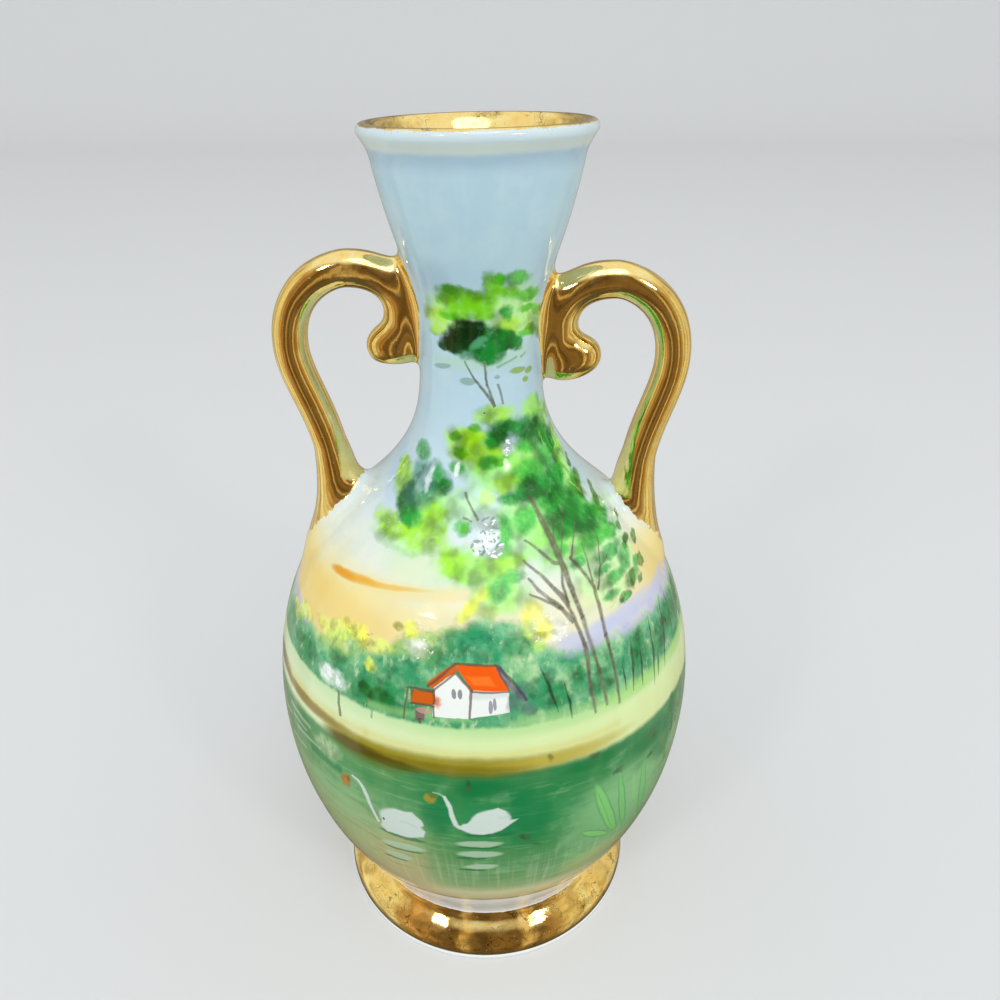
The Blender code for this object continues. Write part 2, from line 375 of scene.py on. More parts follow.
@dataclass
class FusedSurface:
    """The outside of the vase as heights above it: the body, and the handles fused to it with fillets."""

    form: BodyForm
    handles: tuple[HandleForm, ...]
    rise: float = 0.004
    outline_step: float = 0.05
    middle_fillet: float = 1.6
    arch_fillet: float = 3.0
    cut_fillet: float = 0.8
    deep_inside: float = -9.0
    coarse: int = 3

    def __post_init__(self) -> None:
        """Samples the outline and the rods' lines finely, and sorts them for finding the nearest place."""
        detail = 40
        outline = self.form.outside(detail)
        steps = np.linalg.norm(np.diff(outline, axis=0), axis=1)
        length = np.concatenate([[0.0], np.cumsum(steps)])
        places = np.arange(0.0, length[-1], self.outline_step)
        self.outline = np.stack([np.interp(places, length, outline[:, k]) for k in (0, 1)], axis=1)
        self.runs = places - length[1 + len(self.form.foot(detail))]
        along = np.gradient(self.outline, axis=0)
        along /= np.linalg.norm(along, axis=1)[:, None]
        self.sides = np.stack([along[:, 1], -along[:, 0]], axis=1)
        self.tree = self.sorted_tree(np.pad(self.outline, ((0, 0), (0, 1))))
        self.rods = []
        for handle in self.handles:
            centres, radii = handle.line()
            marks = np.arange(len(centres))
            fine = np.arange(0, len(centres) - 1, 0.1)
            out, up, width = (np.interp(fine, marks, values) for values in (centres[:, 0], centres[:, 1], radii))
            line = handle.placed(out, np.zeros(len(out)), up)
            self.rods.append((self.sorted_tree(line), line, width))

    @staticmethod
    def sorted_tree(points: np.ndarray) -> KDTree:
        """A tree that finds the nearest of the points."""
        tree = KDTree(len(points))
        for index, point in enumerate(points):
            tree.insert(point, index)
        tree.balance()
        return tree

    @staticmethod
    def nearest(tree: KDTree, points: np.ndarray) -> np.ndarray:
        """Numbers of the tree's points that are nearest to each of the points."""
        return np.array([tree.find(point)[1] for point in points.tolist()])

    def on_body(self, points: np.ndarray) -> tuple[np.ndarray, np.ndarray, np.ndarray]:
        """Where points lie beside the body's outside.

        Args:
            points: World places in millimetres.

        Returns:
            The run at the nearest place, the height above the surface, and the surface's outward direction.
        """
        radius = np.hypot(points[:, 0], points[:, 1])
        height = points[:, 2] - self.form.tilt(points[:, 0], points[:, 2])
        flat = np.stack([radius, height], axis=1)
        found = self.nearest(self.tree, np.pad(flat, ((0, 0), (0, 1))))
        side = self.sides[found]
        gap = flat - self.outline[found]
        lift = (gap * side).sum(1)
        along = gap[:, 1] * side[:, 0] - gap[:, 0] * side[:, 1]
        spoke = points[:, :2] / np.maximum(radius, TINY)[:, None]
        outward = np.concatenate([spoke * side[:, :1], side[:, 1:]], axis=1)
        return self.runs[found] + along, lift, outward

    def on_handle(self, number: int, points: np.ndarray) -> tuple[np.ndarray, np.ndarray]:
        """Heights of points above one handle's rod and scroll, and the outward direction there."""
        handle = self.handles[number]
        tree, line, width = self.rods[number]
        found = self.nearest(tree, points)
        from_rod = points - line[found]
        rod_reach = np.linalg.norm(from_rod, axis=1)
        from_ball = points - handle.ball_centre()
        ball_reach = np.linalg.norm(from_ball, axis=1)
        joined, share = soft_union(rod_reach - width[found], ball_reach - handle.ball_radius, handle.scroll_fillet)
        rod_way = from_rod / np.maximum(rod_reach, TINY)[:, None]
        ball_way = from_ball / np.maximum(ball_reach, TINY)[:, None]
        way = rod_way * (1 - share)[:, None] + ball_way * share[:, None]
        beside_neck = np.abs(points[:, 0]) < handle.ball[0] + handle.ball_radius + 1.0
        in_scroll = beside_neck & (np.abs(points[:, 2] - handle.pad[1]) < handle.stem[1] - handle.pad[1])
        below = np.where(in_scroll, handle.pad[1] - handle.scroll_cut - points[:, 2], self.deep_inside)
        cut, share = soft_union(-joined, -below, self.cut_fillet)
        return -cut, way * (1 - share)[:, None] + np.array([0.0, 0.0, -1.0]) * share[:, None]

    def fillet_reach(self, number: int, height: np.ndarray) -> np.ndarray:
        """How far the fillet between the body and a handle acts: wide at the root and under the arch, tight below."""
        handle = self.handles[number]
        heights = [handle.root[1] + 12, handle.root[1] + 18, handle.pad[1] + 1, handle.pad[1] + 6]
        reaches = [handle.root_fillet, self.middle_fillet, self.middle_fillet, self.arch_fillet]
        return np.interp(height, heights, reaches)

    def fused(self, points: np.ndarray) -> tuple[np.ndarray, np.ndarray]:
        """Heights of points above the fused outside, and its slope there."""
        _, joined, slope = self.on_body(points)
        for number in range(len(self.handles)):
            handle, way = self.on_handle(number, points)
            joined, share = soft_union(joined, handle, self.fillet_reach(number, points[:, 2]))
            slope = slope * (1 - share)[:, None] + way * share[:, None]
        return joined, slope

    def settle(self, points: np.ndarray, rounds: int = 4) -> np.ndarray:
        """Moves points onto the fused outside.

        Args:
            points: World places near the surface.
            rounds: How often each point takes a step down the slope.

        Returns:
            The moved points.
        """
        moved = points.copy()
        for _ in range(rounds):
            height, slope = self.fused(moved)
            moved -= slope * ((height - self.rise) / np.maximum((slope * slope).sum(1), 0.05))[:, None]
        return moved

    def handle_heights(self, number: int, points: np.ndarray) -> np.ndarray:
        """Heights above one handle with its fillets and the outer half of the wall under them."""
        _, body, outward = self.on_body(points)
        handle, _ = self.on_handle(number, points)
        reach = self.fillet_reach(number, points[:, 2])
        joined, _ = soft_union(body, handle, reach)
        half_wall = 0.5 * self.form.wall
        under = body < 0.05
        edge = np.full(len(points), self.deep_inside)
        foot_points = (points - outward * body[:, None])[under]
        edge[under] = self.on_handle(number, foot_points)[0] - 1.05 * reach[under]
        return np.maximum.reduce([joined - self.rise, -body - half_wall, edge])

    def handle_solid(self, number: int, step: float = 0.32) -> bpy.types.Object:
        """One handle as a closed solid with its fillets.

        Args:
            number: Which handle.
            step: Size of the mesh's faces in millimetres.

        Returns:
            The mesh object, which reaches half way into the body's wall.
        """
        low, high = self.handles[number].corners()
        coarse = self.coarse
        cells = np.ceil((high - low) / (step * coarse)).astype(int) + 1
        places = np.stack(np.meshgrid(*(np.arange(n) for n in cells), indexing="ij"), axis=-1)
        rough = self.handle_heights(number, low + places.reshape(-1, 3) * step * coarse).reshape(cells)
        for axis in range(3):
            rough = np.repeat(rough, coarse, axis=axis)
        places = np.stack(np.meshgrid(*(np.arange(n) for n in rough.shape), indexing="ij"), axis=-1)
        near = np.abs(rough) < 2.2 * step * coarse
        rough[near] = self.handle_heights(number, low + places[near] * step)
        points, faces = surface_net(rough, low, step)
        _, lift, _ = self.on_body(points)
        shown = lift > -0.6 * self.form.wall / 2
        points[shown] = self.settle(points[shown])
        return mesh_object(self.handles[number].name, points, faces)


def combine(base: bpy.types.Object, tools: list[bpy.types.Object]) -> None:
    """Fuses the tools to the base's mesh and removes them.

    Args:
        base: The solid that is changed.
        tools: The other solids.
    """
    for tool in tools:
        step = base.modifiers.new(tool.name, "BOOLEAN")
        step.operation = "UNION"
        step.solver = "MANIFOLD"
        step.object = tool
    graph = bpy.context.evaluated_depsgraph_get()
    made = bpy.data.meshes.new_from_object(base.evaluated_get(graph))
    base.modifiers.clear()
    base.data = made
    for tool in tools:
        bpy.data.objects.remove(tool)


@dataclass
class Vase:
    """The whole vase as one fused piece, with the run and the lift of each place kept for its finishes."""

    form: BodyForm
    handles: tuple[HandleForm, ...]
    uneven: float = 0.05
    uneven_size: float = 9.0
    skin: float = 0.9
    bare_height: float = 1.5
    probe: float = 0.5

    def build(self) -> bpy.types.Object:
        """Turns the body, fuses the handles to it and settles the mesh on the smooth outside."""
        surface = FusedSurface(self.form, self.handles)
        vase = self.form.turned("painted_vase", self.form.closed_outline(), self.form.segments)
        combine(vase, [surface.handle_solid(number) for number in range(len(self.handles))])
        self.finish_surface(vase.data, surface)
        return vase

    def unevenness(self, points: np.ndarray) -> np.ndarray:
        """How far hand forming and firing left the surface off its true form, in millimetres."""
        return self.uneven * np.array([noise.noise(point) for point in points / self.uneven_size])

    def finish_surface(self, mesh: bpy.types.Mesh, surface: FusedSurface) -> None:
        """Adds the hand's unevenness, stores run and lift, and sets the outside's normals from its true slope."""
        points = np.empty(len(mesh.vertices) * 3, np.float32)
        mesh.vertices.foreach_get("co", points)
        points = points.reshape(-1, 3).astype(float) / MM
        run, lift, _ = surface.on_body(points)
        above = points[:, 2] > self.bare_height
        shown = np.flatnonzero((lift > -self.skin) & above & (run < surface.runs[-1] - 0.1))
        _, slope = surface.fused(points[shown])
        normals = slope / np.linalg.norm(slope, axis=1)[:, None]
        offset = self.unevenness(points[shown])
        beside = [self.unevenness(points[shown] + self.probe * axis) - offset for axis in np.eye(3)]
        pull = np.stack(beside, axis=1) / self.probe
        points[shown] += normals * offset[:, None]
        normals -= pull - normals * (pull * normals).sum(1)[:, None]
        mesh.vertices.foreach_set("co", (points * MM).astype(np.float32).ravel())
        mesh.update()
        every = np.empty(len(mesh.vertices) * 3, np.float32)
        mesh.vertex_normals.foreach_get("vector", every)
        every = every.reshape(-1, 3)
        every[shown] = normals / np.linalg.norm(normals, axis=1)[:, None]
        mesh.normals_split_custom_set_from_vertices(every.tolist())
        for name, values in (("run", run), ("lift", lift)):
            layer = mesh.attributes.new(name, "FLOAT", "POINT")
            layer.data.foreach_set("value", values.astype(np.float32))
        log.info("%d points, %d of them on the outside", len(points), len(shown))


class Desk:
    """Adds nodes to a tree in the order in which they are worked out, and links them."""

    def __init__(self, tree: Tree) -> None:
        """Starts on an empty or a new tree."""
        self.tree = tree
        self.count = 0

    def node(self, kind: str, **settings: object) -> bpy.types.Node:
        """A new node with its settings, set down to the right of the last one."""
        made = self.tree.nodes.new(kind)
        for name, value in settings.items():
            setattr(made, name, value)
        made.location = (180 * (self.count // 4), -170 * (self.count % 4))
        self.count += 1
        return made

    def feed(self, socket: Socket, value: object) -> None:
        """Links a socket to the input, or sets the input's own value."""
        if isinstance(value, Socket):
            self.tree.links.new(value, socket)
        elif value is not None:
            socket.default_value = value

    def math(self, operation: str, *values: object, clamp: bool = False) -> Socket:
        """The result of a Math node."""
        made = self.node("ShaderNodeMath", operation=operation, use_clamp=clamp)
        for socket, value in zip(made.inputs, values):
            self.feed(socket, value)
        return made.outputs[0]

    def times(self, first: object, second: object) -> Socket:
        """The product of two numbers."""
        return self.math("MULTIPLY", first, second)

    def plus(self, first: object, second: object) -> Socket:
        """The sum of two numbers."""
        return self.math("ADD", first, second)

    def minus(self, first: object, second: object) -> Socket:
        """The second number taken from the first."""
        return self.math("SUBTRACT", first, second)

    def scaled(self, value: object, factor: object, offset: object) -> Socket:
        """A number times a factor, plus an offset."""
        return self.math("MULTIPLY_ADD", value, factor, offset)

    def vector(self, operation: str, *values: object) -> Socket:
        """The result of a Vector Math node, which is a number for DOT_PRODUCT and LENGTH."""
        made = self.node("ShaderNodeVectorMath", operation=operation)
        for socket, value in zip(made.inputs, values):
            self.feed(socket, value)
        return made.outputs["Value" if operation in ("DOT_PRODUCT", "LENGTH") else "Vector"]

    def split(self, place: object) -> bpy.types.NodeOutputs:
        """The X, Y and Z of a place."""
        made = self.node("ShaderNodeSeparateXYZ")
        self.feed(made.inputs[0], place)
        return made.outputs

    def point(self, *values: object) -> Socket:
        """A place from its X, Y and, where it has one, its Z."""
        made = self.node("ShaderNodeCombineXYZ")
        for socket, value in zip(made.inputs, values):
            self.feed(socket, value)
        return made.outputs[0]

    def ease(self, value: object, start: object, end: object, low: float = 0, high: float = 1) -> Socket:
        """A smooth step from low, at start, to high, at end."""
        made = self.node("ShaderNodeMapRange", interpolation_type="SMOOTHSTEP")
        names = ("Value", "From Min", "From Max", "To Min", "To Max")
        for name, given in zip(names, (value, start, end, low, high)):
            self.feed(made.inputs[name], given)
        return made.outputs["Result"]

    @staticmethod
    def light(colour: object) -> object:
        """A colour as linear light. One of three numbers is a screen colour; all others stay as they are."""
        return srgb(*colour) if isinstance(colour, tuple) and len(colour) == 3 else colour

    def mix(self, share: object, under: object, over: object, blend: str = "MIX") -> Socket:
        """One colour laid over another."""
        made = self.node("ShaderNodeMix", data_type="RGBA", blend_type=blend)
        for index, value in zip((0, 6, 7), (share, self.light(under), self.light(over))):
            self.feed(made.inputs[index], value)
        return made.outputs[2]

    def noise(self, place: object, scale: float, detail: float = 2.0, roughness: float = 0.5) -> Socket:
        """The value of a noise texture, whose node has its colours too."""
        made = self.node("ShaderNodeTexNoise")
        for name, value in (("Vector", place), ("Scale", scale), ("Detail", detail), ("Roughness", roughness)):
            self.feed(made.inputs[name], value)
        return made.outputs["Fac"]

    def ramp(self, value: object, stops: list[tuple[float, tuple]], low: float, high: float) -> Socket:
        """A colour that follows a value through stops.

        Args:
            value: The value.
            stops: Values, each with its colour.
            low: The value at the ramp's left end.
            high: The value at its right end.

        Returns:
            The colour.
        """
        made = self.node("ShaderNodeValToRGB")
        self.feed(made.inputs["Fac"], self.scaled(value, 1 / (high - low), -low / (high - low)))
        elements = made.color_ramp.elements
        while len(elements) < len(stops):
            elements.new(0.5)
        for element, (place, colour) in zip(elements, stops):
            element.position = (place - low) / (high - low)
            element.color = self.light(colour)
        return made.outputs["Color"]

    def outline(self, value: object, points: list[tuple], low: float, high: float) -> Socket:
        """A number drawn as a smooth line over the turn from -180 to 180.

        Args:
            value: The turn.
            points: Turns, each with the number there.
            low: The lowest number that the line may reach.
            high: The highest.

        Returns:
            The number.
        """
        made = self.node("ShaderNodeFloatCurve")
        self.feed(made.inputs["Value"], self.scaled(value, 1 / 360, 0.5))
        curve = made.mapping.curves[0]
        while len(curve.points) < len(points):
            curve.points.new(0.5, 0.5)
        for point, (turn, height) in zip(curve.points, points):
            point.location = (turn / 360 + 0.5, (height - low) / (high - low))
        made.mapping.update()
        return self.scaled(made.outputs[0], high - low, low)

    def group(self, tree: Tree, **values: object) -> bpy.types.Node:
        """A node group with its inputs, whose names have an underscore for each space."""
        made = self.node("ShaderNodeGroup", node_tree=tree)
        for name, value in values.items():
            self.feed(made.inputs[name.replace("_", " ")], value)
        return made


class Effect:
    """A node group that is built once, with named inputs and outputs."""

    def __init__(self, name: str, inputs: dict[str, str], outputs: dict[str, str]) -> None:
        """Makes the group's sockets.

        Args:
            name: The group's name.
            inputs: Kinds of socket by name: Float, Vector or Color.
            outputs: The same for the outputs.
        """
        self.tree = bpy.data.node_groups.new(name, "ShaderNodeTree")
        for label, kind in inputs.items():
            self.tree.interface.new_socket(label, in_out="INPUT", socket_type="NodeSocket" + kind)
        for label, kind in outputs.items():
            self.tree.interface.new_socket(label, in_out="OUTPUT", socket_type="NodeSocket" + kind)
        self.desk = Desk(self.tree)
        self.given = self.desk.node("NodeGroupInput").outputs

    def take(self, *names: str) -> list[Socket]:
        """The group's inputs of these names."""
        return [self.given[name] for name in names]

    def give(self, **values: object) -> Tree:
        """Links the group's outputs and returns the group."""
        result = self.desk.node("NodeGroupOutput")
        for name, value in values.items():
            self.desk.feed(result.inputs[name.replace("_", " ")], value)
        return self.tree


def chart_effect() -> Tree:
    """Group that says where on the vase a point is.

    Returns:
        A group with Body, the place in millimetres; Place, the flat place as (across, run, 1); Turn in degrees;
        Run and Lift in millimetres.
    """
    outputs = {"Body": "Vector", "Place": "Vector", "Turn": "Float", "Run": "Float", "Lift": "Float"}
    made = Effect("vase_chart", {}, outputs)
    desk = made.desk
    run = desk.node("ShaderNodeAttribute", attribute_name="run").outputs["Fac"]
    lift = desk.node("ShaderNodeAttribute", attribute_name="lift").outputs["Fac"]
    inside = desk.node("ShaderNodeTexCoord").outputs["Object"]
    body = desk.vector("SCALE", inside)
    body.node.inputs["Scale"].default_value = 1 / MM
    parts = desk.split(body)
    angle = desk.math("ARCTAN2", parts["X"], desk.times(parts["Y"], -1.0))
    radius = desk.vector("LENGTH", desk.vector("MULTIPLY", body, (1.0, 1.0, 0.0)))
    across = desk.times(angle, radius)
    turn = desk.times(angle, 180 / math.pi)
    return made.give(Body=body, Place=desk.point(across, run, 1.0), Turn=turn, Run=run, Lift=lift)


def wobble_effect() -> Tree:
    """Group that shifts a flat place a little, as a brush held by hand does: Scale is how fine, Amount how far."""
    inputs = {"Place": "Vector", "Body": "Vector", "Scale": "Float", "Amount": "Float"}
    made = Effect("hand_wobble", inputs, {"Place": "Vector"})
    desk = made.desk
    wave = desk.noise(made.given["Body"], made.given["Scale"], 2.0, 0.6).node.outputs["Color"]
    centred = desk.vector("SUBTRACT", wave, (0.5, 0.5, 0.5))
    flat = desk.vector("MULTIPLY", centred, (1.0, 1.0, 0.0))
    amount = desk.vector("SCALE", flat)
    desk.feed(amount.node.inputs["Scale"], made.given["Amount"])
    return made.give(Place=desk.vector("ADD", made.given["Place"], amount))


def dab_effect(leafy: bool) -> Tree:
    """Group for one soft oval of paint.

    Args:
        leafy: Whether its edge is broken up by a Ragged input.

    Returns:
        A group with Mask.
    """
    inputs = {"Place": "Vector", "First": "Vector", "Second": "Vector", "Soft": "Float"}
    inputs |= {"Ragged": "Float"} if leafy else {}
    made = Effect("leaf_dab" if leafy else "oval_dab", inputs, {"Mask": "Float"})
    desk = made.desk
    place, first, second, soft = made.take("Place", "First", "Second", "Soft")
    first = desk.vector("DOT_PRODUCT", place, first)
    second = desk.vector("DOT_PRODUCT", place, second)
    reach = desk.scaled(second, second, desk.times(first, first))
    if leafy:
        reach = desk.plus(reach, made.given["Ragged"])
    return made.give(Mask=desk.ease(reach, desk.plus(soft, 1.0), desk.minus(1.0, soft)))


def stroke_effect() -> Tree:
    """Group for one brush stroke, which may bow to one side and change its width along its length."""
    inputs = {"Place": "Vector", "Along": "Vector", "Across": "Vector"}
    inputs |= {"Bow": "Float", "Start Width": "Float", "End Width": "Float", "Soft": "Float"}
    made = Effect("line_stroke", inputs, {"Mask": "Float"})
    desk = made.desk
    place, bow, start, end = made.take("Place", "Bow", "Start Width", "End Width")
    along = desk.vector("DOT_PRODUCT", place, made.given["Along"])
    across = desk.vector("DOT_PRODUCT", place, made.given["Across"])
    arch = desk.times(along, desk.minus(1.0, along))
    side = desk.math("ABSOLUTE", desk.scaled(arch, bow, across))
    width = desk.scaled(along, desk.minus(end, start), start)
    half = desk.times(made.given["Soft"], 0.5)
    body = desk.ease(desk.minus(width, side), desk.times(half, -1.0), half)
    return made.give(Mask=desk.times(body, desk.ease(arch, -0.03, 0.0)))


def leaf_effect() -> Tree:
    """Group for sponged and dabbed foliage.

    Returns:
        A group with Ragged, which breaks up the edges of patches, and Cover, how much paint each dab holds.
    """
    made = Effect("leaf_dabs", {"Body": "Vector"}, {"Ragged": "Float", "Cover": "Float"})
    desk = made.desk
    coarse = desk.noise(made.given["Body"], 0.5, 2.0, 0.5)
    fine = desk.noise(made.given["Body"], 1.6, 2.0, 0.55)
    ragged = desk.scaled(coarse, 2.6, -1.3)
    ragged = desk.scaled(fine, 0.36, desk.minus(ragged, 0.18))
    cover = desk.math("MULTIPLY_ADD", fine, 1.1, 0.42, clamp=True)
    return made.give(Ragged=ragged, Cover=cover)


class Washes:
    """Broad, soft colours that run all round the vase, from which the picture's strokes stand out."""

    INPUTS = {"Run": "Float", "Turn": "Float", "Body": "Vector"}
    SKY = [(50, (236, 226, 176)), (60, (238, 230, 186)), (64, (232, 235, 216)), (68, (222, 233, 230)),
           (74, (196, 218, 230)), (84, (184, 212, 226)), (100, (176, 205, 217)), (110, (178, 208, 220))]
    GLOW = [(52, (236, 208, 124)), (56, (236, 211, 132)), (59, (238, 219, 146)), (62, (236, 228, 174))]
    GLOW_REACH = [(-180, 0.55), (-110, 0.9), (-70, 1), (-35, 0.8), (-22, 0.45), (-5, 0.35), (40, 0.25), (60, 0.7),
                  (78, 1), (120, 0.9), (180, 0.55)]
    HILLS = [(-180, 55), (-120, 54.5), (-78, 54), (-62, 53.4), (-40, 52), (0, 52), (20, 55), (34, 56.4),
             (52, 56.2), (78, 55.4), (120, 55.6), (180, 55)]
    BUSHES = [(-180, 53), (-120, 53.4), (-75, 52.2), (-60, 52.6), (-48, 54), (-38, 55.6), (-31, 54.6), (-26, 57),
              (-18, 58.2), (-8, 59.6), (2, 60), (10, 59), (16, 56.5), (22, 55.2), (32, 54.6), (45, 54.2),
              (60, 54), (76, 53.6), (110, 54.4), (150, 52.8), (180, 53)]
    LEAVES = [(0.28, (34, 130, 88)), (0.42, (70, 160, 112)), (0.54, (116, 188, 138)), (0.70, (168, 212, 164))]
    BRIGHT_REACH = [(-180, 0.3), (-80, 0.9), (-22, 0.9), (-8, 0.3), (40, 0.15), (70, 0.3), (180, 0.3)]
    MEADOW = [(41, (214, 226, 160)), (43.5, (216, 230, 164)), (45.5, (214, 232, 168)), (47.2, (176, 220, 146)),
              (48.8, (150, 210, 128))]
    MEADOW_CREAM = [(-180, 0.6), (-75, 0.8), (-30, 0.6), (0, 0.15), (60, 0), (120, 0.2), (180, 0.6)]
    RIM = [(0, (248, 252, 248)), (11.2, (248, 250, 240)), (11.9, (170, 158, 118)), (12.6, (206, 194, 146))]
    WATER = [*RIM, (15.4, (216, 210, 160)), (17.8, (140, 176, 118)), (22, (98, 156, 98)), (28, (54, 136, 74)),
             (34, (42, 138, 76)), (38, (30, 126, 68)), (42, (60, 140, 82))]
    SHALLOWS = [*RIM, (18, (200, 186, 134)), (24, (190, 182, 128)), (28, (168, 178, 126)), (33, (124, 170, 114)),
                (37, (78, 146, 88)), (42, (96, 150, 84))]
    SHALLOW_REACH = [(-180, 0.3), (-100, 0.8), (-30, 1), (-18, 0.75), (-6, 0.1), (60, 0), (120, 0.1), (180, 0.3)]
    PALE_REACH = [(-180, 0.2), (-80, 0.4), (-58, 0.5), (-36, 0.35), (-16, 0), (12, 0), (22, 0.4), (36, 0.6),
                  (52, 0.75), (68, 0.6), (110, 0.3), (180, 0.2)]

    def upper(self) -> Tree:
        """Group for sky, glow, far hills, bushes and meadow, with a painted shade band under the lip: Run, Turn and
        Body in, Color out.
        """
        made = Effect("upper_washes", self.INPUTS, {"Color": "Color"})
        desk = made.desk
        run, turn, body = made.take("Run", "Turn", "Body")
        cloud = desk.noise(body, 0.07, 2.0, 0.5)
        height = desk.plus(run, desk.scaled(cloud, 8.0, -4.0))
        sky = desk.ramp(height, self.SKY, 50, 112)
        mottle = desk.ease(desk.noise(body, 0.3, 3.0, 0.6), 0.35, 0.65)
        sky = desk.mix(desk.times(mottle, 0.35), sky, (196, 218, 222))
        # Painted shade: a darker blue-grey band on the neck just under the lip, where the lip's roll shades it
        sky = desk.mix(desk.times(desk.ease(run, 112.2, 114.0), 0.55), sky, (158, 184, 204))
        sky = desk.mix(desk.ease(run, 114.3, 115.1), sky, (206, 218, 212))
        sky = desk.mix(desk.ease(run, 115.7, 116.3), sky, (204, 220, 224))
        glow = desk.times(desk.ease(height, 64.0, 59.0), desk.outline(turn, self.GLOW_REACH, 0, 1))
        sky = desk.mix(glow, sky, desk.ramp(height, self.GLOW, 52, 62))
        leaves = desk.noise(body, 0.33, 3.0, 0.65)
        slight = desk.scaled(leaves, 1.2, -0.6)
        hill = desk.minus(desk.plus(desk.outline(turn, self.HILLS, 48, 60), slight), run)
        tint = desk.mix(desk.ease(leaves, 0.35, 0.65), (170, 176, 218), (204, 206, 218))
        sky = desk.mix(desk.ease(hill, -0.6, 0.9, 0.0, 0.85), sky, tint)
        clump = desk.noise(body, 0.15, 1.0, 0.5)
        top = desk.scaled(leaves, 4.4, -2.2)
        top = desk.minus(desk.plus(desk.outline(turn, self.BUSHES, 48, 62), top), run)
        green = desk.ramp(leaves, self.LEAVES, 0.2, 0.8)
        dark = desk.times(desk.ease(clump, 0.46, 0.6), desk.ease(run, 56.0, 50.0))
        green = desk.mix(desk.times(dark, 0.55), green, (34, 128, 74))
        green = desk.mix(desk.ease(run, 52.0, 48.5, 0.0, 0.45), green, (56, 144, 92))
        light = desk.times(desk.ease(clump, 0.54, 0.40), desk.ease(run, 50.5, 53.5))
        light = desk.times(light, desk.outline(turn, self.BRIGHT_REACH, 0, 1))
        green = desk.mix(desk.times(light, 0.8), green, (200, 218, 112))
        tall = desk.noise(desk.vector("MULTIPLY", body, (1.0, 1.0, 0.4)), 0.8, 3.0, 0.65)
        green = desk.mix(desk.ease(tall, 0.54, 0.72, 0.0, 0.6), green, (16, 118, 74))
        green = desk.mix(desk.ease(tall, 0.46, 0.30, 0.0, 0.6), green, (206, 228, 176))
        land = desk.mix(desk.ease(top, -0.7, 0.9), sky, green)
        grass = desk.ramp(run, self.MEADOW, 41, 49)
        fade = desk.times(desk.outline(turn, self.MEADOW_CREAM, 0, 1), 0.7)
        grass = desk.mix(fade, grass, (214, 230, 198))
        edge = desk.scaled(leaves, 0.9, 47.2)
        return made.give(Color=desk.mix(desk.ease(run, edge, desk.minus(edge, 0.6)), land, grass))

    def lower(self) -> Tree:
        """Group for lake, shallows and the white band above the foot: Run, Turn and Body in, Color out."""
        made = Effect("lower_washes", self.INPUTS, {"Color": "Color"})
        desk = made.desk
        run, turn, body = made.take("Run", "Turn", "Body")
        water = desk.ramp(run, self.WATER, 0, 44)
        shallow = desk.ramp(run, self.SHALLOWS, 0, 44)
        water = desk.mix(desk.outline(turn, self.SHALLOW_REACH, 0, 1), water, shallow)
        sides = desk.times(desk.outline(turn, self.PALE_REACH, 0, 1), desk.ease(run, 39, 32))
        water = desk.mix(desk.times(sides, desk.ease(run, 16, 22)), water, (150, 196, 136))
        mottle = desk.noise(body, 0.2, 3.0, 0.6)
        deep = desk.times(desk.ease(mottle, 0.5, 0.7), desk.ease(run, 25, 36))
        water = desk.mix(desk.times(deep, 0.5), water, (36, 132, 84))
        pale = desk.times(desk.ease(mottle, 0.48, 0.3), desk.ease(run, 16, 24))
        water = desk.mix(desk.times(pale, 0.3), water, (150, 200, 148))
        streak = desk.noise(desk.point(desk.times(turn, 0.8), desk.times(run, 0.07)), 1.0, 2.0, 0.5)
        low = desk.times(desk.ease(run, 31, 20), desk.ease(run, 12.5, 17))
        streak = desk.times(desk.ease(streak, 0.50, 0.72), low)
        water = desk.mix(desk.times(streak, 0.26), water, (204, 218, 176))
        flat = desk.noise(desk.vector("MULTIPLY", body, (0.3, 0.3, 2.2)), 0.5, 3.0, 0.6)
        wet = desk.ease(run, 15.0, 19.0)
        water = desk.mix(desk.times(desk.ease(flat, 0.52, 0.70, 0.0, 0.26), wet), water, (24, 112, 66))
        pale = desk.times(desk.ease(flat, 0.46, 0.30, 0.0, 0.18), wet)
        return made.give(Color=desk.mix(pale, water, (168, 208, 160)))


@dataclass(frozen=True)
class Chart:
    """Flat places on the vase's outside: millimetres across from the front line, and run."""

    runs: np.ndarray
    radii: np.ndarray

    def flat(self, turn: float, run: float) -> np.ndarray:
        """The flat place at a turn in degrees and a run in millimetres."""
        return np.array([math.radians(turn) * np.interp(run, self.runs, self.radii), run])


@dataclass
class Easel:
    """What a painter needs at hand: where nodes go, the chart, the brushes, and places with the hand's wobble."""

    desk: Desk
    chart: Chart
    brushes: dict[str, Tree]
    steady: Socket
    loose: Socket | None = None
    ragged: Socket | None = None
    cover: Socket | None = None
    grain: Socket | None = None
    tones: dict["Paint", Socket] = field(default_factory=dict)

    def tone(self, paint: "Paint") -> object:
        """The colour of a paint, which a dabbing brush leaves darker in some places and lighter in others."""
        if not paint.leafy:
            return paint.colour
        if paint not in self.tones:
            dark = tuple(0.80 * share for share in paint.colour)
            light = tuple(min(255, 1.14 * share + 5) for share in paint.colour)
            self.tones[paint] = self.desk.mix(self.grain, dark, light)
        return self.tones[paint]

    def lay(self, mask: object, under: object, paint: "Paint") -> Socket:
        """Lays a paint over a colour where a mask says."""
        share = mask if paint.strength == 1 else self.desk.times(mask, paint.strength)
        return self.desk.mix(share, under, self.tone(paint))


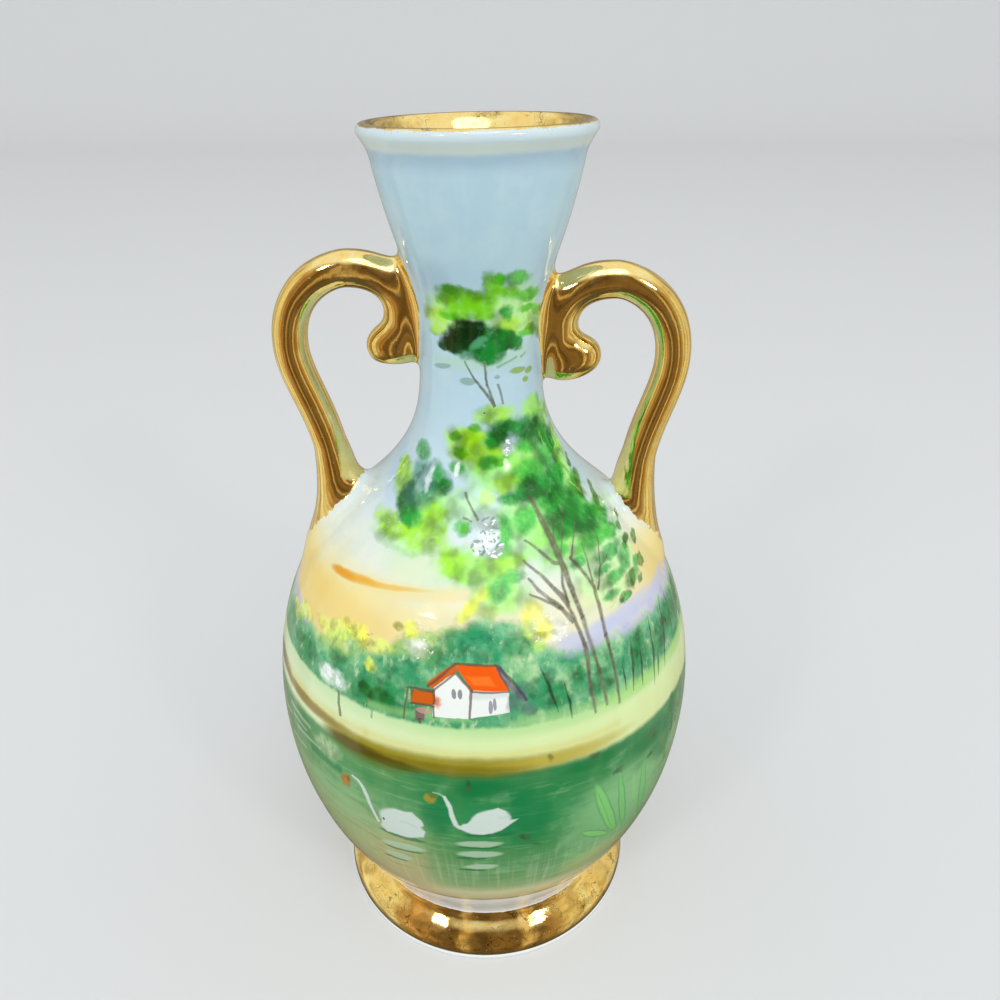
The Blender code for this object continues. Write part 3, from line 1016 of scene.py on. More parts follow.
@dataclass(frozen=True)
class Dab:
    """A soft oval of paint: its middle as turn and run, its half width and half height in mm, and its tilt."""

    paint: "Paint"
    turn: float
    run: float
    wide: float
    tall: float
    tilt: float = 0.0

    def reach(self, chart: Chart) -> tuple[np.ndarray, np.ndarray]:
        """Lowest and highest flat place that it may touch."""
        room = max(self.wide, self.tall) * (1.5 if self.paint.leafy else 1.2) + 1.2
        middle = chart.flat(self.turn, self.run)
        return middle - room, middle + room

    def axes(self, chart: Chart) -> list[tuple[float, float, float]]:
        """Two vectors whose products with a flat place are its shares of the half width and half height."""
        tilt = math.radians(self.tilt)
        middle = chart.flat(self.turn, self.run)
        ways = (math.cos(tilt), math.sin(tilt)), (-math.sin(tilt), math.cos(tilt))
        return [(w[0] / size, w[1] / size, -float(middle @ w) / size) for w, size in zip(ways, (self.wide, self.tall))]

    def lay(self, easel: Easel, under: object) -> Socket:
        """Lays it over a colour and returns the new colour."""
        first, second = self.axes(easel.chart)
        leafy = self.paint.leafy
        brush = easel.brushes["leaf_dab" if leafy else "oval_dab"]
        made = easel.desk.group(brush, Place=easel.loose if leafy else easel.steady, First=first, Second=second)
        made.inputs["Soft"].default_value = self.paint.soft
        if not leafy:
            return easel.lay(made.outputs["Mask"], under, self.paint)
        easel.desk.feed(made.inputs["Ragged"], easel.ragged)
        cover = easel.desk.times(made.outputs["Mask"], easel.cover)
        return easel.lay(cover, under, self.paint)


@dataclass(frozen=True)
class Stroke:
    """A brush stroke from one turn and run to another, with its widths at both ends and its bow in mm."""

    paint: "Paint"
    start: Pair
    end: Pair
    widths: Pair
    bow: float = 0.0

    def reach(self, chart: Chart) -> tuple[np.ndarray, np.ndarray]:
        """Lowest and highest flat place that it may touch."""
        ends = np.array([chart.flat(*self.start), chart.flat(*self.end)])
        room = abs(self.bow) + max(self.widths) + 0.8
        return ends.min(0) - room, ends.max(0) + room

    def lay(self, easel: Easel, under: object) -> Socket:
        """Lays it over a colour and returns the new colour."""
        start = easel.chart.flat(*self.start)
        way = easel.chart.flat(*self.end) - start
        length = float(np.linalg.norm(way))
        side = np.array([-way[1], way[0]]) / length
        along = (*(way / length**2), -float(start @ way) / length**2)
        across = (*side, -float(start @ side))
        made = easel.desk.group(easel.brushes["line_stroke"], Place=easel.steady, Along=along, Across=across)
        values = {"Bow": -4 * self.bow, "Start Width": 0.5 * self.widths[0], "End Width": 0.5 * self.widths[1]}
        for name, value in (values | {"Soft": self.paint.soft}).items():
            made.inputs[name].default_value = value
        mask = made.outputs["Mask"]
        if self.paint.leafy:
            mask = easel.desk.times(mask, easel.cover)
        return easel.lay(mask, under, self.paint)


@dataclass(frozen=True)
class Plane:
    """A flat shape with straight edges, such as a wall or a roof: its corners as turn and run, anticlockwise."""

    paint: "Paint"
    corners: tuple[Pair, ...]

    def reach(self, chart: Chart) -> tuple[np.ndarray, np.ndarray]:
        """Lowest and highest flat place that it may touch."""
        places = np.array([chart.flat(*corner) for corner in self.corners])
        return places.min(0) - 0.8, places.max(0) + 0.8

    def lay(self, easel: Easel, under: object) -> Socket:
        """Lays it over a colour and returns the new colour."""
        desk, room = easel.desk, None
        for first, second in zip(self.corners, self.corners[1:] + self.corners[:1]):
            start = easel.chart.flat(*first)
            way = easel.chart.flat(*second) - start
            side = np.array([-way[1], way[0]]) / np.linalg.norm(way)
            edge = desk.vector("DOT_PRODUCT", easel.steady, (*side, -float(start @ side)))
            room = edge if room is None else desk.math("MINIMUM", room, edge)
        return easel.lay(desk.ease(room, -self.paint.soft / 2, self.paint.soft / 2), under, self.paint)


@dataclass(frozen=True)
class Paint:
    """A mixed paint: its screen colour, how much it covers, how soft its edge is, and whether it is dabbed on."""

    colour: tuple[int, int, int]
    strength: float = 1.0
    soft: float = 0.12
    leafy: bool = False

    def dabs(self, *places: tuple[float, ...]) -> list[Dab]:
        """Ovals, each given as turn, run, half width, half height and, where it has one, its tilt."""
        return [Dab(self, *place) for place in places]

    def lines(self, *ways: tuple[float, ...]) -> list[Stroke]:
        """Strokes, each given as the start's turn and run, the end's, both widths and, where it has one, its bow."""
        return [Stroke(self, w[:2], w[2:4], w[4:6], *w[6:]) for w in ways]

    def path(self, first: float, last: float, *corners: Pair) -> list[Stroke]:
        """A stroke that bends at corners and whose width goes from first to last."""
        widths = np.linspace(first, last, len(corners)).tolist()
        steps = zip(corners, corners[1:], widths, widths[1:])
        return [Stroke(self, start, end, (wide, narrow)) for start, end, wide, narrow in steps]

    def flecks(self, turn: float, run: float, wide: float, tall: float, count: int, size: float) -> list[Dab]:
        """Small flecks strewn over an oval, whose place, length and tilt come from a fixed draw.

        Args:
            turn: The oval's middle.
            run: The oval's middle.
            wide: Half the oval's width.
            tall: Half its height.
            count: Number of flecks, which is the draw's seed too.
            size: Half a fleck's usual length.

        Returns:
            The flecks.
        """
        draw = np.random.default_rng(count)
        made = []
        for distance, angle, length, tilt in draw.uniform(size=(count, 4)).tolist():
            share, way, long = math.sqrt(distance), 2 * math.pi * angle, size * (0.5 + length)
            place = (turn + 3.0 * wide * share * math.cos(way), run + tall * share * math.sin(way))
            made.append(Dab(self, *place, long, 0.4 * long, 140 * tilt - 70))
        return made

    def blades(self, *ways: tuple[float, ...]) -> list[Stroke]:
        """Strokes that are wide in the middle and pointed at both ends, each given by its ends and its width."""
        made = []
        for turn, run, last_turn, last_run, wide in ways:
            middle = ((turn + last_turn) / 2, (run + last_run) / 2)
            made += self.lines((turn, run, *middle, 0.06, wide), (*middle, last_turn, last_run, wide, 0.06))
        return made

    def planes(self, *shapes: tuple[Pair, ...]) -> list[Plane]:
        """Shapes with straight edges, each given by its corners."""
        return [Plane(self, shape) for shape in shapes]


def foliage(colour: tuple[int, int, int], strength: float, soft: float) -> Paint:
    """A paint that is dabbed on as leaves."""
    return Paint(colour, strength, soft, leafy=True)


@dataclass(frozen=True)
class Gilding:
    """Bright gold: the runs, lifts and heights between which its edges fade, in millimetres, and its colours."""

    foot_top: Pair = (0.30, 0.12)
    foot_bottom: Pair = (-6.55, -6.35)
    rod_edge: Pair = (-0.03, 0.05)
    inside_wall: Pair = (-0.62, -0.8)
    inside_depth: Pair = (103.5, 104.2)
    lip_wall: Pair = (-0.2, -0.5)
    lip_height: Pair = (112.5, 113.2)
    foot_height: Pair = (8.0, 6.5)
    gloss: Pair = (0.06, 0.15)
    TONES = [(0.4, (248, 208, 122)), (0.6, (250, 220, 138)), (0.8, (252, 230, 156)), (1.0, (254, 238, 176))]
    CRACKS_AND_REFLECTION_LINES = (92, 60, 20)
    INNER_SHADE = (112, 86, 40)
    SPECK = (130, 96, 44)

    def effect(self) -> Tree:
        """Group for the gold, where it lies, how it has worn, and the painted shade and reflection lines in it.

        Returns:
            A group with Mask, the gold's Color and its Roughness.
        """
        inputs = {"Body": "Vector", "Run": "Float", "Lift": "Float"}
        made = Effect("gilding", inputs, {"Mask": "Float", "Color": "Color", "Roughness": "Float"})
        desk = made.desk
        body, run, lift = made.take("Body", "Run", "Lift")
        brush = desk.noise(body, 0.55, 3.0, 0.6)
        fine = desk.noise(body, 3.2, 2.0, 0.6)
        height = desk.split(body)["Z"]
        uneven = desk.scaled(brush, 1.2, -0.6)
        speckled = desk.scaled(fine, 0.4, desk.minus(uneven, 0.2))
        foot = desk.ease(desk.plus(run, desk.times(speckled, 0.6)), *self.foot_top)
        foot = desk.times(foot, desk.ease(run, *self.foot_bottom))
        edge = desk.ease(height, 72.0, 82.0, 1.1, 0.16)
        over = desk.minus(desk.scaled(speckled, edge, lift), edge)
        rod = desk.ease(over, *self.rod_edge)
        depth = desk.scaled(uneven, 3.0, height)
        inside = desk.ease(desk.scaled(speckled, 0.5, lift), *self.inside_wall)
        inside = desk.times(inside, desk.ease(depth, *self.inside_depth))
        worn = desk.times(desk.ease(fine, 0.63, 0.68, 0.0, 0.6), desk.ease(lift, *self.lip_wall))
        worn = desk.times(worn, desk.ease(height, *self.lip_height))
        mask = desk.math("MAXIMUM", desk.math("MAXIMUM", foot, rod), desk.math("MAXIMUM", inside, worn))
        bare = desk.times(desk.ease(fine, 0.72, 0.76), 0.7)
        mask = desk.times(mask, desk.minus(1.0, bare))
        tone = desk.ramp(desk.scaled(fine, 0.35, brush), self.TONES, 0.35, 1.05)
        cloud = desk.noise(body, 0.28, 2.0, 0.5)
        # Fine dark threads in the gold of the foot and inside the mouth: crackle in the gilding, and on the foot partly
        # painted reflection lines
        thread = desk.math("ABSOLUTE", desk.minus(desk.noise(body, 0.75, 1.5, 0.5), 0.5))
        open_side = desk.math("MAXIMUM", inside, desk.ease(height, *self.foot_height))
        thread = desk.times(desk.ease(thread, 0.016, 0.004), desk.ease(cloud, 0.46, 0.58))
        tone = desk.mix(desk.times(desk.times(thread, open_side), 0.7), tone, self.CRACKS_AND_REFLECTION_LINES)
        # Painted shade: darker patches on the gold inside the mouth
        patch = desk.times(desk.times(desk.ease(cloud, 0.52, 0.66), inside), desk.ease(fine, 0.80, 0.30))
        tone = desk.mix(desk.times(patch, 0.5), tone, self.INNER_SHADE)
        tone = desk.mix(desk.ease(fine, 0.6, 0.7, 0.0, 0.25), tone, self.SPECK)
        return made.give(Mask=mask, Color=tone, Roughness=desk.ease(brush, 0.3, 0.75, *self.gloss))


@dataclass(frozen=True)
class Glaze:
    """The clear glaze and the bare porcelain: their gloss, and the fine relief's heights in millimetres."""

    roughness: float = 0.11
    bare_roughness: float = 0.7
    index: float = 1.5
    wave: float = 0.04
    skin: float = 0.0015
    brush_mark: float = 0.005
    foot_wave: float = 0.045
    enamel: float = 0.15
    enamel_soft: float = 0.5
    ENAMEL = [(0.5, 70.4, 2.5, 3.4), (20, 80.5, 0.9, 1), (19, 58.4, 3.2, 2.2), (-17, 57.6, 2.6, 2), (-36, 76, 0.9, 2.2)]

    def relief(self, chart: Chart, oval: Tree) -> Tree:
        """Group for the fine relief: slow waves all over, brush marks in the gold, crinkles in thick enamel.

        Args:
            chart: The flat places.
            oval: The group for one oval.

        Returns:
            A group with Height in millimetres.
        """
        inputs = {"Body": "Vector", "Place": "Vector", "Gold": "Float"}
        made = Effect("glaze_relief", inputs, {"Height": "Float"})
        desk = made.desk
        body, place, gold = made.take("Body", "Place", "Gold")
        slow = desk.noise(body, 0.45, 1.0, 0.5)
        crisp = desk.noise(body, 1.9, 3.0, 0.6)
        spots = None
        for spot in Paint((255, 255, 255)).dabs(*self.ENAMEL):
            first, second = spot.axes(chart)
            dab = desk.group(oval, Place=place, First=first, Second=second, Soft=self.enamel_soft)
            mask = dab.outputs["Mask"]
            spots = mask if spots is None else desk.math("MAXIMUM", spots, mask)
        amount = desk.scaled(gold, self.brush_mark, desk.scaled(spots, self.enamel, self.skin))
        foot = desk.times(gold, desk.ease(desk.split(body)["Z"], 8.0, 6.5, 0.0, self.foot_wave))
        height = desk.scaled(desk.noise(body, 0.4, 1.0, 0.5), foot, desk.times(crisp, amount))
        return made.give(Height=desk.scaled(slow, self.wave, height))


class LakePicture:
    """The painted scene on the front: a lake with two swans, a cottage among bushes, and tall trees.

    Each table is a layer of the picture, and its rows are laid on in order.
    """

    # The cloud's stroke and the warm patches beside it
    SKY = (
        Paint((238, 204, 112), 0.4, 1).dabs((-50, 57.6, 9.5, 1.9, -3), (-70, 57.5, 6, 1.6)),
        Paint((236, 218, 150), 0.7, 1).dabs((-24, 62.3, 9, 0.9, 6)),
        Paint((232, 186, 78), 0.8, 0.8).dabs((-38, 61.9, 7, 0.34, 8)),
        Paint((230, 172, 50), 0.9, 0.8).dabs((-48.5, 61.3, 4.6, 0.55, 8)),
        Paint((226, 156, 28), 0.9, 0.8).dabs((-54, 60.9, 2.6, 0.5, 8)),
        Paint((176, 202, 228), 0.5, 0.9).dabs((-66, 75, 2.2, 4)),
        Paint((150, 178, 196), 0.5, 1).dabs((-38, 100.5, 2.2, 2.6)),
        Paint((206, 230, 178), 0.55, 1).dabs((-22, 65.6, 6, 2.4)),
    )

    # Light and dark clumps in the band of bushes, the bright tops above it, and painted highlights where the side lamps
    # glint
    BUSHES = (
        Paint((232, 232, 204), 0.7, 1).dabs((22, 59, 3.4, 2.2), (33, 57.4, 2.4, 1.6)),
        Paint((192, 198, 230), 0.75, 1).dabs(
            (24, 56.2, 1.8, 0.9), (47, 56.4, 5.4, 1.1), (66, 55.8, 4.4, 0.9), (35, 56.4, 3, 0.9)
        ),
        foliage((14, 124, 76), 0.7, 0.9).dabs(
            (-8, 57.2, 1.5, 1.6, 60), (8.5, 57.2, 1.5, 1.4), (-14, 55.6, 1.5, 1.2, 50), (12.5, 51.2, 1.7, 2),
            (1, 56.2, 1.6, 1.2), (-20, 53.4, 1.4, 1.4), (-3, 58.8, 1, 1.2, 60), (-26, 53, 1.2, 1), (16, 52.6, 1, 1.2)
        ),
        foliage((20, 120, 66), 0.85, 0.8).dabs(
            (-27.5, 50.4, 2.6, 1.6), (-31.5, 49.2, 2.2, 1.1), (-63, 49.8, 1.6, 0.8), (-55, 49.8, 2, 1),
            (18.5, 50.4, 1.6, 1.4), (-24, 48.7, 2.4, 0.9), (-43, 51.6, 1.6, 0.9), (-70, 50.2, 1.6, 0.7)
        ),
        foliage((0, 92, 30), 0.85, 0.7).dabs((-27, 49.3, 1.5, 0.9), (-31, 49.6, 1.2, 0.7)),
        foliage((10, 114, 60), 0.88, 0.9).dabs(
            (46, 51.8, 1.5, 1.8), (56, 50.4, 2.4, 1.8), (66, 51.2, 2.6, 2), (31, 50.2, 2.2, 1.5), (24, 51.6, 1.2, 1.4),
            (76, 51, 2.6, 1.8)
        ),
        foliage((14, 112, 60), 0.75, 0.8).dabs((44, 50.8, 0.9, 1.4), (60, 51, 1, 1.4), (70, 50.6, 1.2, 1.3)),
        foliage((214, 222, 60), 0.75, 0.9).dabs(
            (-37, 55.6, 1.7, 1.2), (-31.5, 52.7, 0.8, 0.8), (-42, 56, 0.9, 0.6), (-68, 52, 2.2, 0.9),
            (-21.5, 58.2, 0.9, 0.9)
        ),
        foliage((196, 216, 96), 0.7, 1).dabs(
            (-50, 54, 2.6, 0.9), (-62, 53.2, 2.4, 0.8), (-29, 55.2, 1.4, 0.9), (-45, 54.8, 1.8, 0.8)
        ),
        foliage((156, 150, 56), 0.8, 0.7).dabs((-25.3, 58, 0.7, 0.6)),
        # Painted highlights: whitish dabs where the side lamps glint on the enamel, left and right of the cottage
        foliage((226, 236, 222), 0.65, 1).dabs((-18.5, 56.2, 1.4, 1.1), (19.5, 58.1, 1.9, 1.2)),
        foliage((176, 212, 84), 0.7, 0.9).dabs((1, 61, 1.6, 0.8), (15, 57.4, 1, 1.4), (12.4, 58.8, 0.8, 1.2)),
        # Painted highlights: white flecks that break up the side lamps' glints
        Paint((244, 246, 238), 0.85, 0.3).flecks(19, 58, 1.9, 1.8, 24, 0.17),
        Paint((238, 244, 236), 0.8, 0.3).flecks(-17.5, 56.4, 1.4, 1.4, 12, 0.16),
        Paint((150, 168, 96), 0.6, 0.3).flecks(-37, 55.4, 1.8, 1.3, 13, 0.24),
        foliage((228, 226, 76), 0.8, 0.9).dabs((14.6, 60.6, 1.3, 1.3), (17.5, 58.4, 1.1, 1.3)),
    )

    # Grass in the meadow and the dark line where the shore meets the water
    SHORE = (
        Paint((186, 222, 154), 0.5, 0.8).lines((6, 47.2, 74, 46.8, 1.8, 1.6)),
        Paint((160, 214, 104), 0.55, 1).dabs((44, 47.2, 6.5, 0.9), (66, 47, 4, 0.8)),
        Paint((150, 206, 128), 0.5, 0.8).lines((-30, 48, -4, 48.6, 1, 0.8), (8, 48.3, 40, 48, 1, 1.1)),
        Paint((214, 206, 116), 0.5, 1.2).lines((-76, 43.8, -30, 43.8, 1.8, 1.4), (-30, 43.8, 34, 43.7, 1.6, 0.9)),
        Paint((40, 124, 70), 0.75, 0.9).dabs((6, 40.4, 15, 1.4)),
        Paint((134, 108, 24), 0.9, 0.8).dabs((-52, 42.9, 9.5, 0.8)),
        Paint((148, 136, 24), 0.96, 0.9).dabs((-8, 42.3, 16, 1.15), (-30, 41.9, 6, 1)),
        Paint((190, 172, 66), 0.7, 1).dabs((20, 42.3, 8, 0.9)),
        Paint((116, 104, 10), 0.7, 0.9).dabs((-12, 41.7, 10, 0.7)),
        Paint((78, 70, 2), 0.92, 0.8).dabs((-34, 41.3, 4.8, 0.95), (-24, 41, 4.6, 0.65)),
        Paint((86, 104, 26), 0.6, 1).dabs((-29, 40.2, 5, 0.6), (-4, 40.9, 9, 0.45)),
        Paint((60, 54, 20), 0.85, 0.9).dabs((-74, 43.6, 5, 1.1)),
        Paint((0, 116, 60), 0.85, 0.9).dabs((-1, 39, 3.4, 1.3), (47, 38.2, 3.8, 1.6), (28, 39.9, 4.4, 0.9)),
        Paint((0, 120, 66), 0.7, 0.95).dabs((9, 33.5, 3.6, 4.6), (-12, 34, 2, 3.4), (52, 35.5, 3, 3, 30)),
        Paint((140, 198, 136), 0.5, 0.9).dabs((34, 31, 5, 4.6), (46, 28, 3.6, 5)),
        Paint((184, 194, 128), 0.65, 0.9).dabs((33, 19.2, 6, 2.8)),
        Paint((36, 116, 66), 0.4, 1).dabs((-57, 35.2, 5, 3)),
        Paint((40, 130, 76), 0.8, 1.1).lines((-72, 39.6, -44, 39.8, 1.6, 1), (-50, 36.2, -38, 36.2, 1.4, 1.4)),
        Paint((196, 214, 180), 0.55, 0.5).lines(
            (-62, 39.3, -50, 39.2, 0.6, 0.4), (-60, 37.9, -52, 38, 0.4, 0.3), (-62, 34.1, -53, 34.5, 0.5, 0.3),
            (-72, 36.6, -62, 37.2, 0.8, 0.5), (-74, 33.4, -66, 33.9, 0.6, 0.5), (-58, 36.7, -46, 37.3, 0.5, 0.3)
        ),
        foliage((206, 218, 178), 0.4, 1).dabs((-43, 38.4, 2.4, 1.5)),
        foliage((56, 72, 44), 0.6, 0.9).dabs(
            (26.6, 41, 0.9, 0.5), (15.2, 42.5, 0.35, 0.5), (33.6, 36.6, 0.8, 0.5), (46.7, 38.2, 0.8, 0.9),
            (9, 30.2, 1, 0.5, -45), (45.6, 35, 0.5, 0.4), (-4.2, 39.4, 0.4, 0.9), (12, 28.5, 0.6, 0.3, -40),
            (60.5, 35.4, 1, 0.4, -50)
        ),
        Paint((240, 214, 150), 0.7, 0.8).dabs((17, 14.2, 1.3, 1)),
        Paint((238, 234, 206), 0.7, 0.8).dabs((-26, 13.2, 1.4, 0.8), (26, 13.2, 1.3, 0.7)),
    )

    # The great trees' foliage, from its pale ground to its dark lobes, with painted highlights of lamp glare on the
    # shoulder
    CROWN = (
        foliage((136, 208, 84), 0.88, 0.85).dabs(
            (14, 78.4, 5.2, 2.6), (34, 78.2, 3.6, 2.6), (34, 72, 7, 4.6), (44, 67.6, 8, 3.4), (-30, 73, 3.4, 3),
            (-2, 66.4, 5, 2.6), (60, 75, 2, 4), (6, 62.8, 3.4, 2)
        ),
        foliage((164, 218, 140), 0.7, 0.7).dabs(
            (14, 71, 2.8, 3.8), (47, 62.4, 6.6, 3.6), (-37, 67.6, 5, 1.2), (66, 77, 1.8, 4), (-8, 73.6, 3, 2.2)
        ),
        foliage((140, 200, 14), 0.92, 0.75).dabs(
            (-56, 75, 2, 2.5), (-45, 69.3, 3.5, 1.6), (-27, 69.6, 3.2, 2.2), (-17, 81.3, 2.1, 2), (0, 80.6, 2.6, 2.4),
            (-8, 82.2, 1.6, 1.1), (12, 84.6, 2.5, 1.4), (-12, 66.6, 1.9, 1.6), (8, 66.4, 2.8, 1.3),
            (15, 76.2, 1.9, 1.2), (-25, 72.4, 1.8, 1.4)
        ),
        foliage((134, 204, 58), 0.88, 0.75).dabs(
            (52, 84.6, 2.1, 1.6), (65, 82.4, 2, 2.4), (70, 79, 1.5, 3), (-3, 65.6, 3, 1.4)
        ),
        foliage((208, 220, 50), 0.85, 0.9).dabs((-5, 61.2, 1.7, 0.8, 50), (-0.4, 63, 1.3, 0.7, 50)),
        foliage((48, 168, 54), 0.88, 0.75).dabs(
            (-50, 79.3, 1.5, 1.1), (-18, 78.3, 1.1, 0.8), (-37, 71.6, 1.6, 1.5), (42, 80.6, 2.6, 1.3),
            (34, 77.6, 2.4, 1.2), (52, 78.4, 2, 1.6), (58, 71.4, 2.2, 2.6), (60, 68, 3, 1.7), (48, 66.2, 3.6, 1.2),
            (61, 65.6, 2.4, 0.9), (39, 68.8, 2.4, 1.3), (9, 70.2, 1.2, 2.6), (-10, 71, 1, 0.9), (5, 79, 1.5, 0.8),
            (4.5, 63.4, 1.5, 1.3), (10, 64.9, 1.6, 0.8), (21, 71.6, 1.4, 1.8), (31, 66.6, 1.2, 0.8)
        ),
        foliage((44, 158, 72), 0.88, 0.75).dabs(
            (52, 63.8, 3, 0.8), (57, 61.8, 1.6, 1.3), (48, 60.8, 2.2, 0.8), (43, 59.2, 1.5, 0.6), (55, 59.3, 1.9, 0.8),
            (62, 60.4, 1, 0.6), (36, 64.6, 1.1, 0.8), (48, 58, 1.2, 0.5), (66, 67.6, 1.2, 0.9), (44, 62.4, 1.6, 0.6)
        ),
        foliage((0, 132, 38), 0.95, 0.75).dabs(
            (22, 82.8, 2.7, 1.4), (45, 82.3, 2.5, 1.4), (57, 81, 1.6, 1.3), (64, 79.6, 1.2, 1.2), (9, 81.6, 1.3, 0.9),
            (31, 75.4, 2.3, 1.7), (18, 74.3, 2.2, 1), (43, 74.4, 3, 2.2), (52, 75.6, 1.6, 1.9), (45, 71.4, 3.6, 2.5),
            (51, 69, 3.6, 1.6), (-30, 76.6, 1.4, 2.1), (-24, 75.8, 1.1, 1), (-43, 72, 1.8, 1.8), (-39, 70.6, 1, 0.9)
        ),
        foliage((40, 120, 92), 0.9, 0.75).dabs((-39, 75.4, 2, 2.8), (-45, 73.6, 1.2, 1.4)),
        foliage((134, 172, 168), 0.8, 0.6).dabs((-39, 76, 0.8, 2.2, -32)),
        foliage((0, 104, 24), 0.85, 0.75).dabs(
            (20, 83.2, 1.6, 0.8), (15, 82.2, 1, 0.7), (46, 70.4, 1.8, 1.4), (31, 76, 1, 0.8), (50, 82.6, 1, 0.7),
            (-44, 71.6, 0.8, 0.9), (42, 73.2, 1.2, 0.9)
        ),
        foliage((70, 156, 8), 0.85, 0.65).dabs(
            (-16, 80.2, 0.9, 0.7), (-5, 83.1, 0.9, 0.6), (-22, 82, 0.8, 0.7), (14, 79, 0.9, 0.5), (-9, 70.9, 0.6, 0.5)
        ),
        foliage((70, 122, 44), 0.85, 0.35).dabs(
            (65.5, 63.4, 0.9, 0.6), (67.5, 65.2, 0.8, 0.6), (70.5, 62.4, 0.9, 0.7), (64.8, 60, 1.1, 0.8),
            (58.5, 58.4, 0.7, 0.6), (55.5, 59.4, 0.8, 0.9), (46.8, 58.3, 0.6, 0.5), (61.2, 62.8, 0.6, 0.5),
            (66, 72.8, 0.9, 1.9), (69.5, 69.8, 0.8, 2), (72, 75.4, 0.6, 1), (72.5, 66, 0.5, 0.4)
        ),
        # Painted highlight: the front lamp's glare on the shoulder as whitish dabs broken by grey and white flecks, and
        # a smaller glint above to the right
        foliage((200, 214, 212), 0.85, 0.6).dabs((2.2, 70.8, 1.3, 2), (1.5, 68.6, 1.8, 1.2), (20, 80.4, 0.8, 0.9)),
        Paint((112, 132, 128), 0.7, 0.4).flecks(1.6, 68.8, 2.1, 1.5, 22, 0.32),
        Paint((244, 250, 248), 0.85, 0.4).flecks(1.8, 68.6, 2, 1.4, 24, 0.3),
        Paint((104, 126, 122), 0.65, 0.4).flecks(2.6, 71, 1.4, 1.6, 14, 0.26),
        Paint((244, 250, 248), 0.85, 0.4).flecks(2.4, 70.8, 1.3, 1.6, 18, 0.28),
        Paint((240, 248, 244), 0.9, 0.4).flecks(20, 80.4, 0.8, 1.1, 11, 0.24),
        foliage((170, 214, 90), 0.8, 0.6).dabs((2, 74.6, 1, 1.1)),
        # Painted highlight: a narrow whitish streak of glare on the dark lobe at the left
        foliage((206, 222, 222), 0.8, 0.8).dabs((-35.6, 76.4, 0.4, 1.9, -14)),
    )

    # The small tree on the neck
    NECK_TREE = (
        foliage((160, 212, 100), 0.8, 0.85).dabs((26, 97.4, 4.2, 3.2), (-28, 97, 3.2, 2.2), (52, 95.4, 2.4, 1.8)),
        foliage((102, 182, 8), 0.94, 0.7).dabs(
            (-25, 99.5, 1.7, 1.1), (-13, 98.7, 2.3, 1.3), (0, 98.5, 1.8, 1.3), (9, 100.7, 1.2, 1.5),
            (-14, 97.1, 2.5, 1), (4, 97, 1.6, 0.9), (21, 99.5, 1.6, 0.9), (-31, 98.4, 1.2, 0.8)
        ),
        foliage((152, 200, 34), 0.85, 0.75).dabs((-43, 96.4, 2.1, 1.2), (-42, 94.6, 1.3, 0.6), (24, 95.4, 1.8, 1.2)),
        foliage((66, 164, 10), 0.88, 0.65).dabs(
            (27, 101.2, 2.2, 0.9), (14, 101.2, 0.8, 0.8), (41, 98.8, 2.3, 0.8), (46, 97, 1.8, 0.5),
            (48, 94.2, 1.9, 0.6), (-30, 96.6, 1.4, 0.6), (-24, 99.9, 1, 0.6)
        ),
        foliage((96, 146, 20), 0.85, 0.85).dabs((62, 96.4, 1.3, 0.5), (65, 93.5, 1.1, 0.6), (50, 94.8, 0.7, 0.35)),
        Paint((176, 212, 178), 0.5, 1).dabs((-6, 91, 5.6, 0.9), (30, 92, 2.6, 1.1)),
        foliage((14, 134, 44), 0.92, 0.6).dabs((23, 97, 0.9, 1.2)),
        foliage((2, 110, 34), 0.97, 0.5).dabs(
            (2, 93.6, 3.4, 2.1), (20, 93.6, 2, 1.2), (30, 93.2, 1.4, 0.95), (6, 92, 2.1, 1.2), (-26, 93, 1.9, 0.9)
        ),
        foliage((0, 50, 12), 0.97, 0.6).dabs(
            (-15, 94.6, 1.9, 1.7), (-22, 93.6, 2, 1.2), (-5, 95.2, 1.5, 1.1), (-31, 92.8, 1.2, 0.6)
        ),
        Paint((86, 170, 120), 0.7, 0.9).dabs((-2.4, 93.6, 1, 0.45, 40)),
        Paint((132, 168, 158), 0.8, 0.3).dabs(
            (-37, 90.4, 1.3, 0.35, 8), (-12, 88.9, 1, 0.45), (14.5, 89.4, 0.35, 0.25)
        ),
        Paint((134, 172, 60), 0.85, 0.4).dabs((35, 89.8, 1.2, 0.4), (48.5, 89.4, 0.7, 0.4), (44, 88.4, 0.5, 0.35)),
        Paint((130, 172, 150), 0.8).lines((14, 90.6, 34, 91.5, 0.35, 0.25), (38, 91.3, 44, 91.8, 0.35, 0.25)),
        foliage((98, 106, 84), 0.85, 0.16).path(0.26, 0.36, (3, 91.4), (5, 88.5), (11.5, 85.7)),
        foliage((98, 106, 84), 0.85, 0.16).path(0.2, 0.42, (-15, 91.3), (-7, 89.5), (5, 87.2), (11.5, 85.7)),
        Paint((124, 136, 140), 0.85).lines((15, 88.5, 19, 86, 0.34, 0.28)),
        Paint((60, 76, 80), 0.8).dabs((2.5, 85, 0.14, 0.12)),
    )

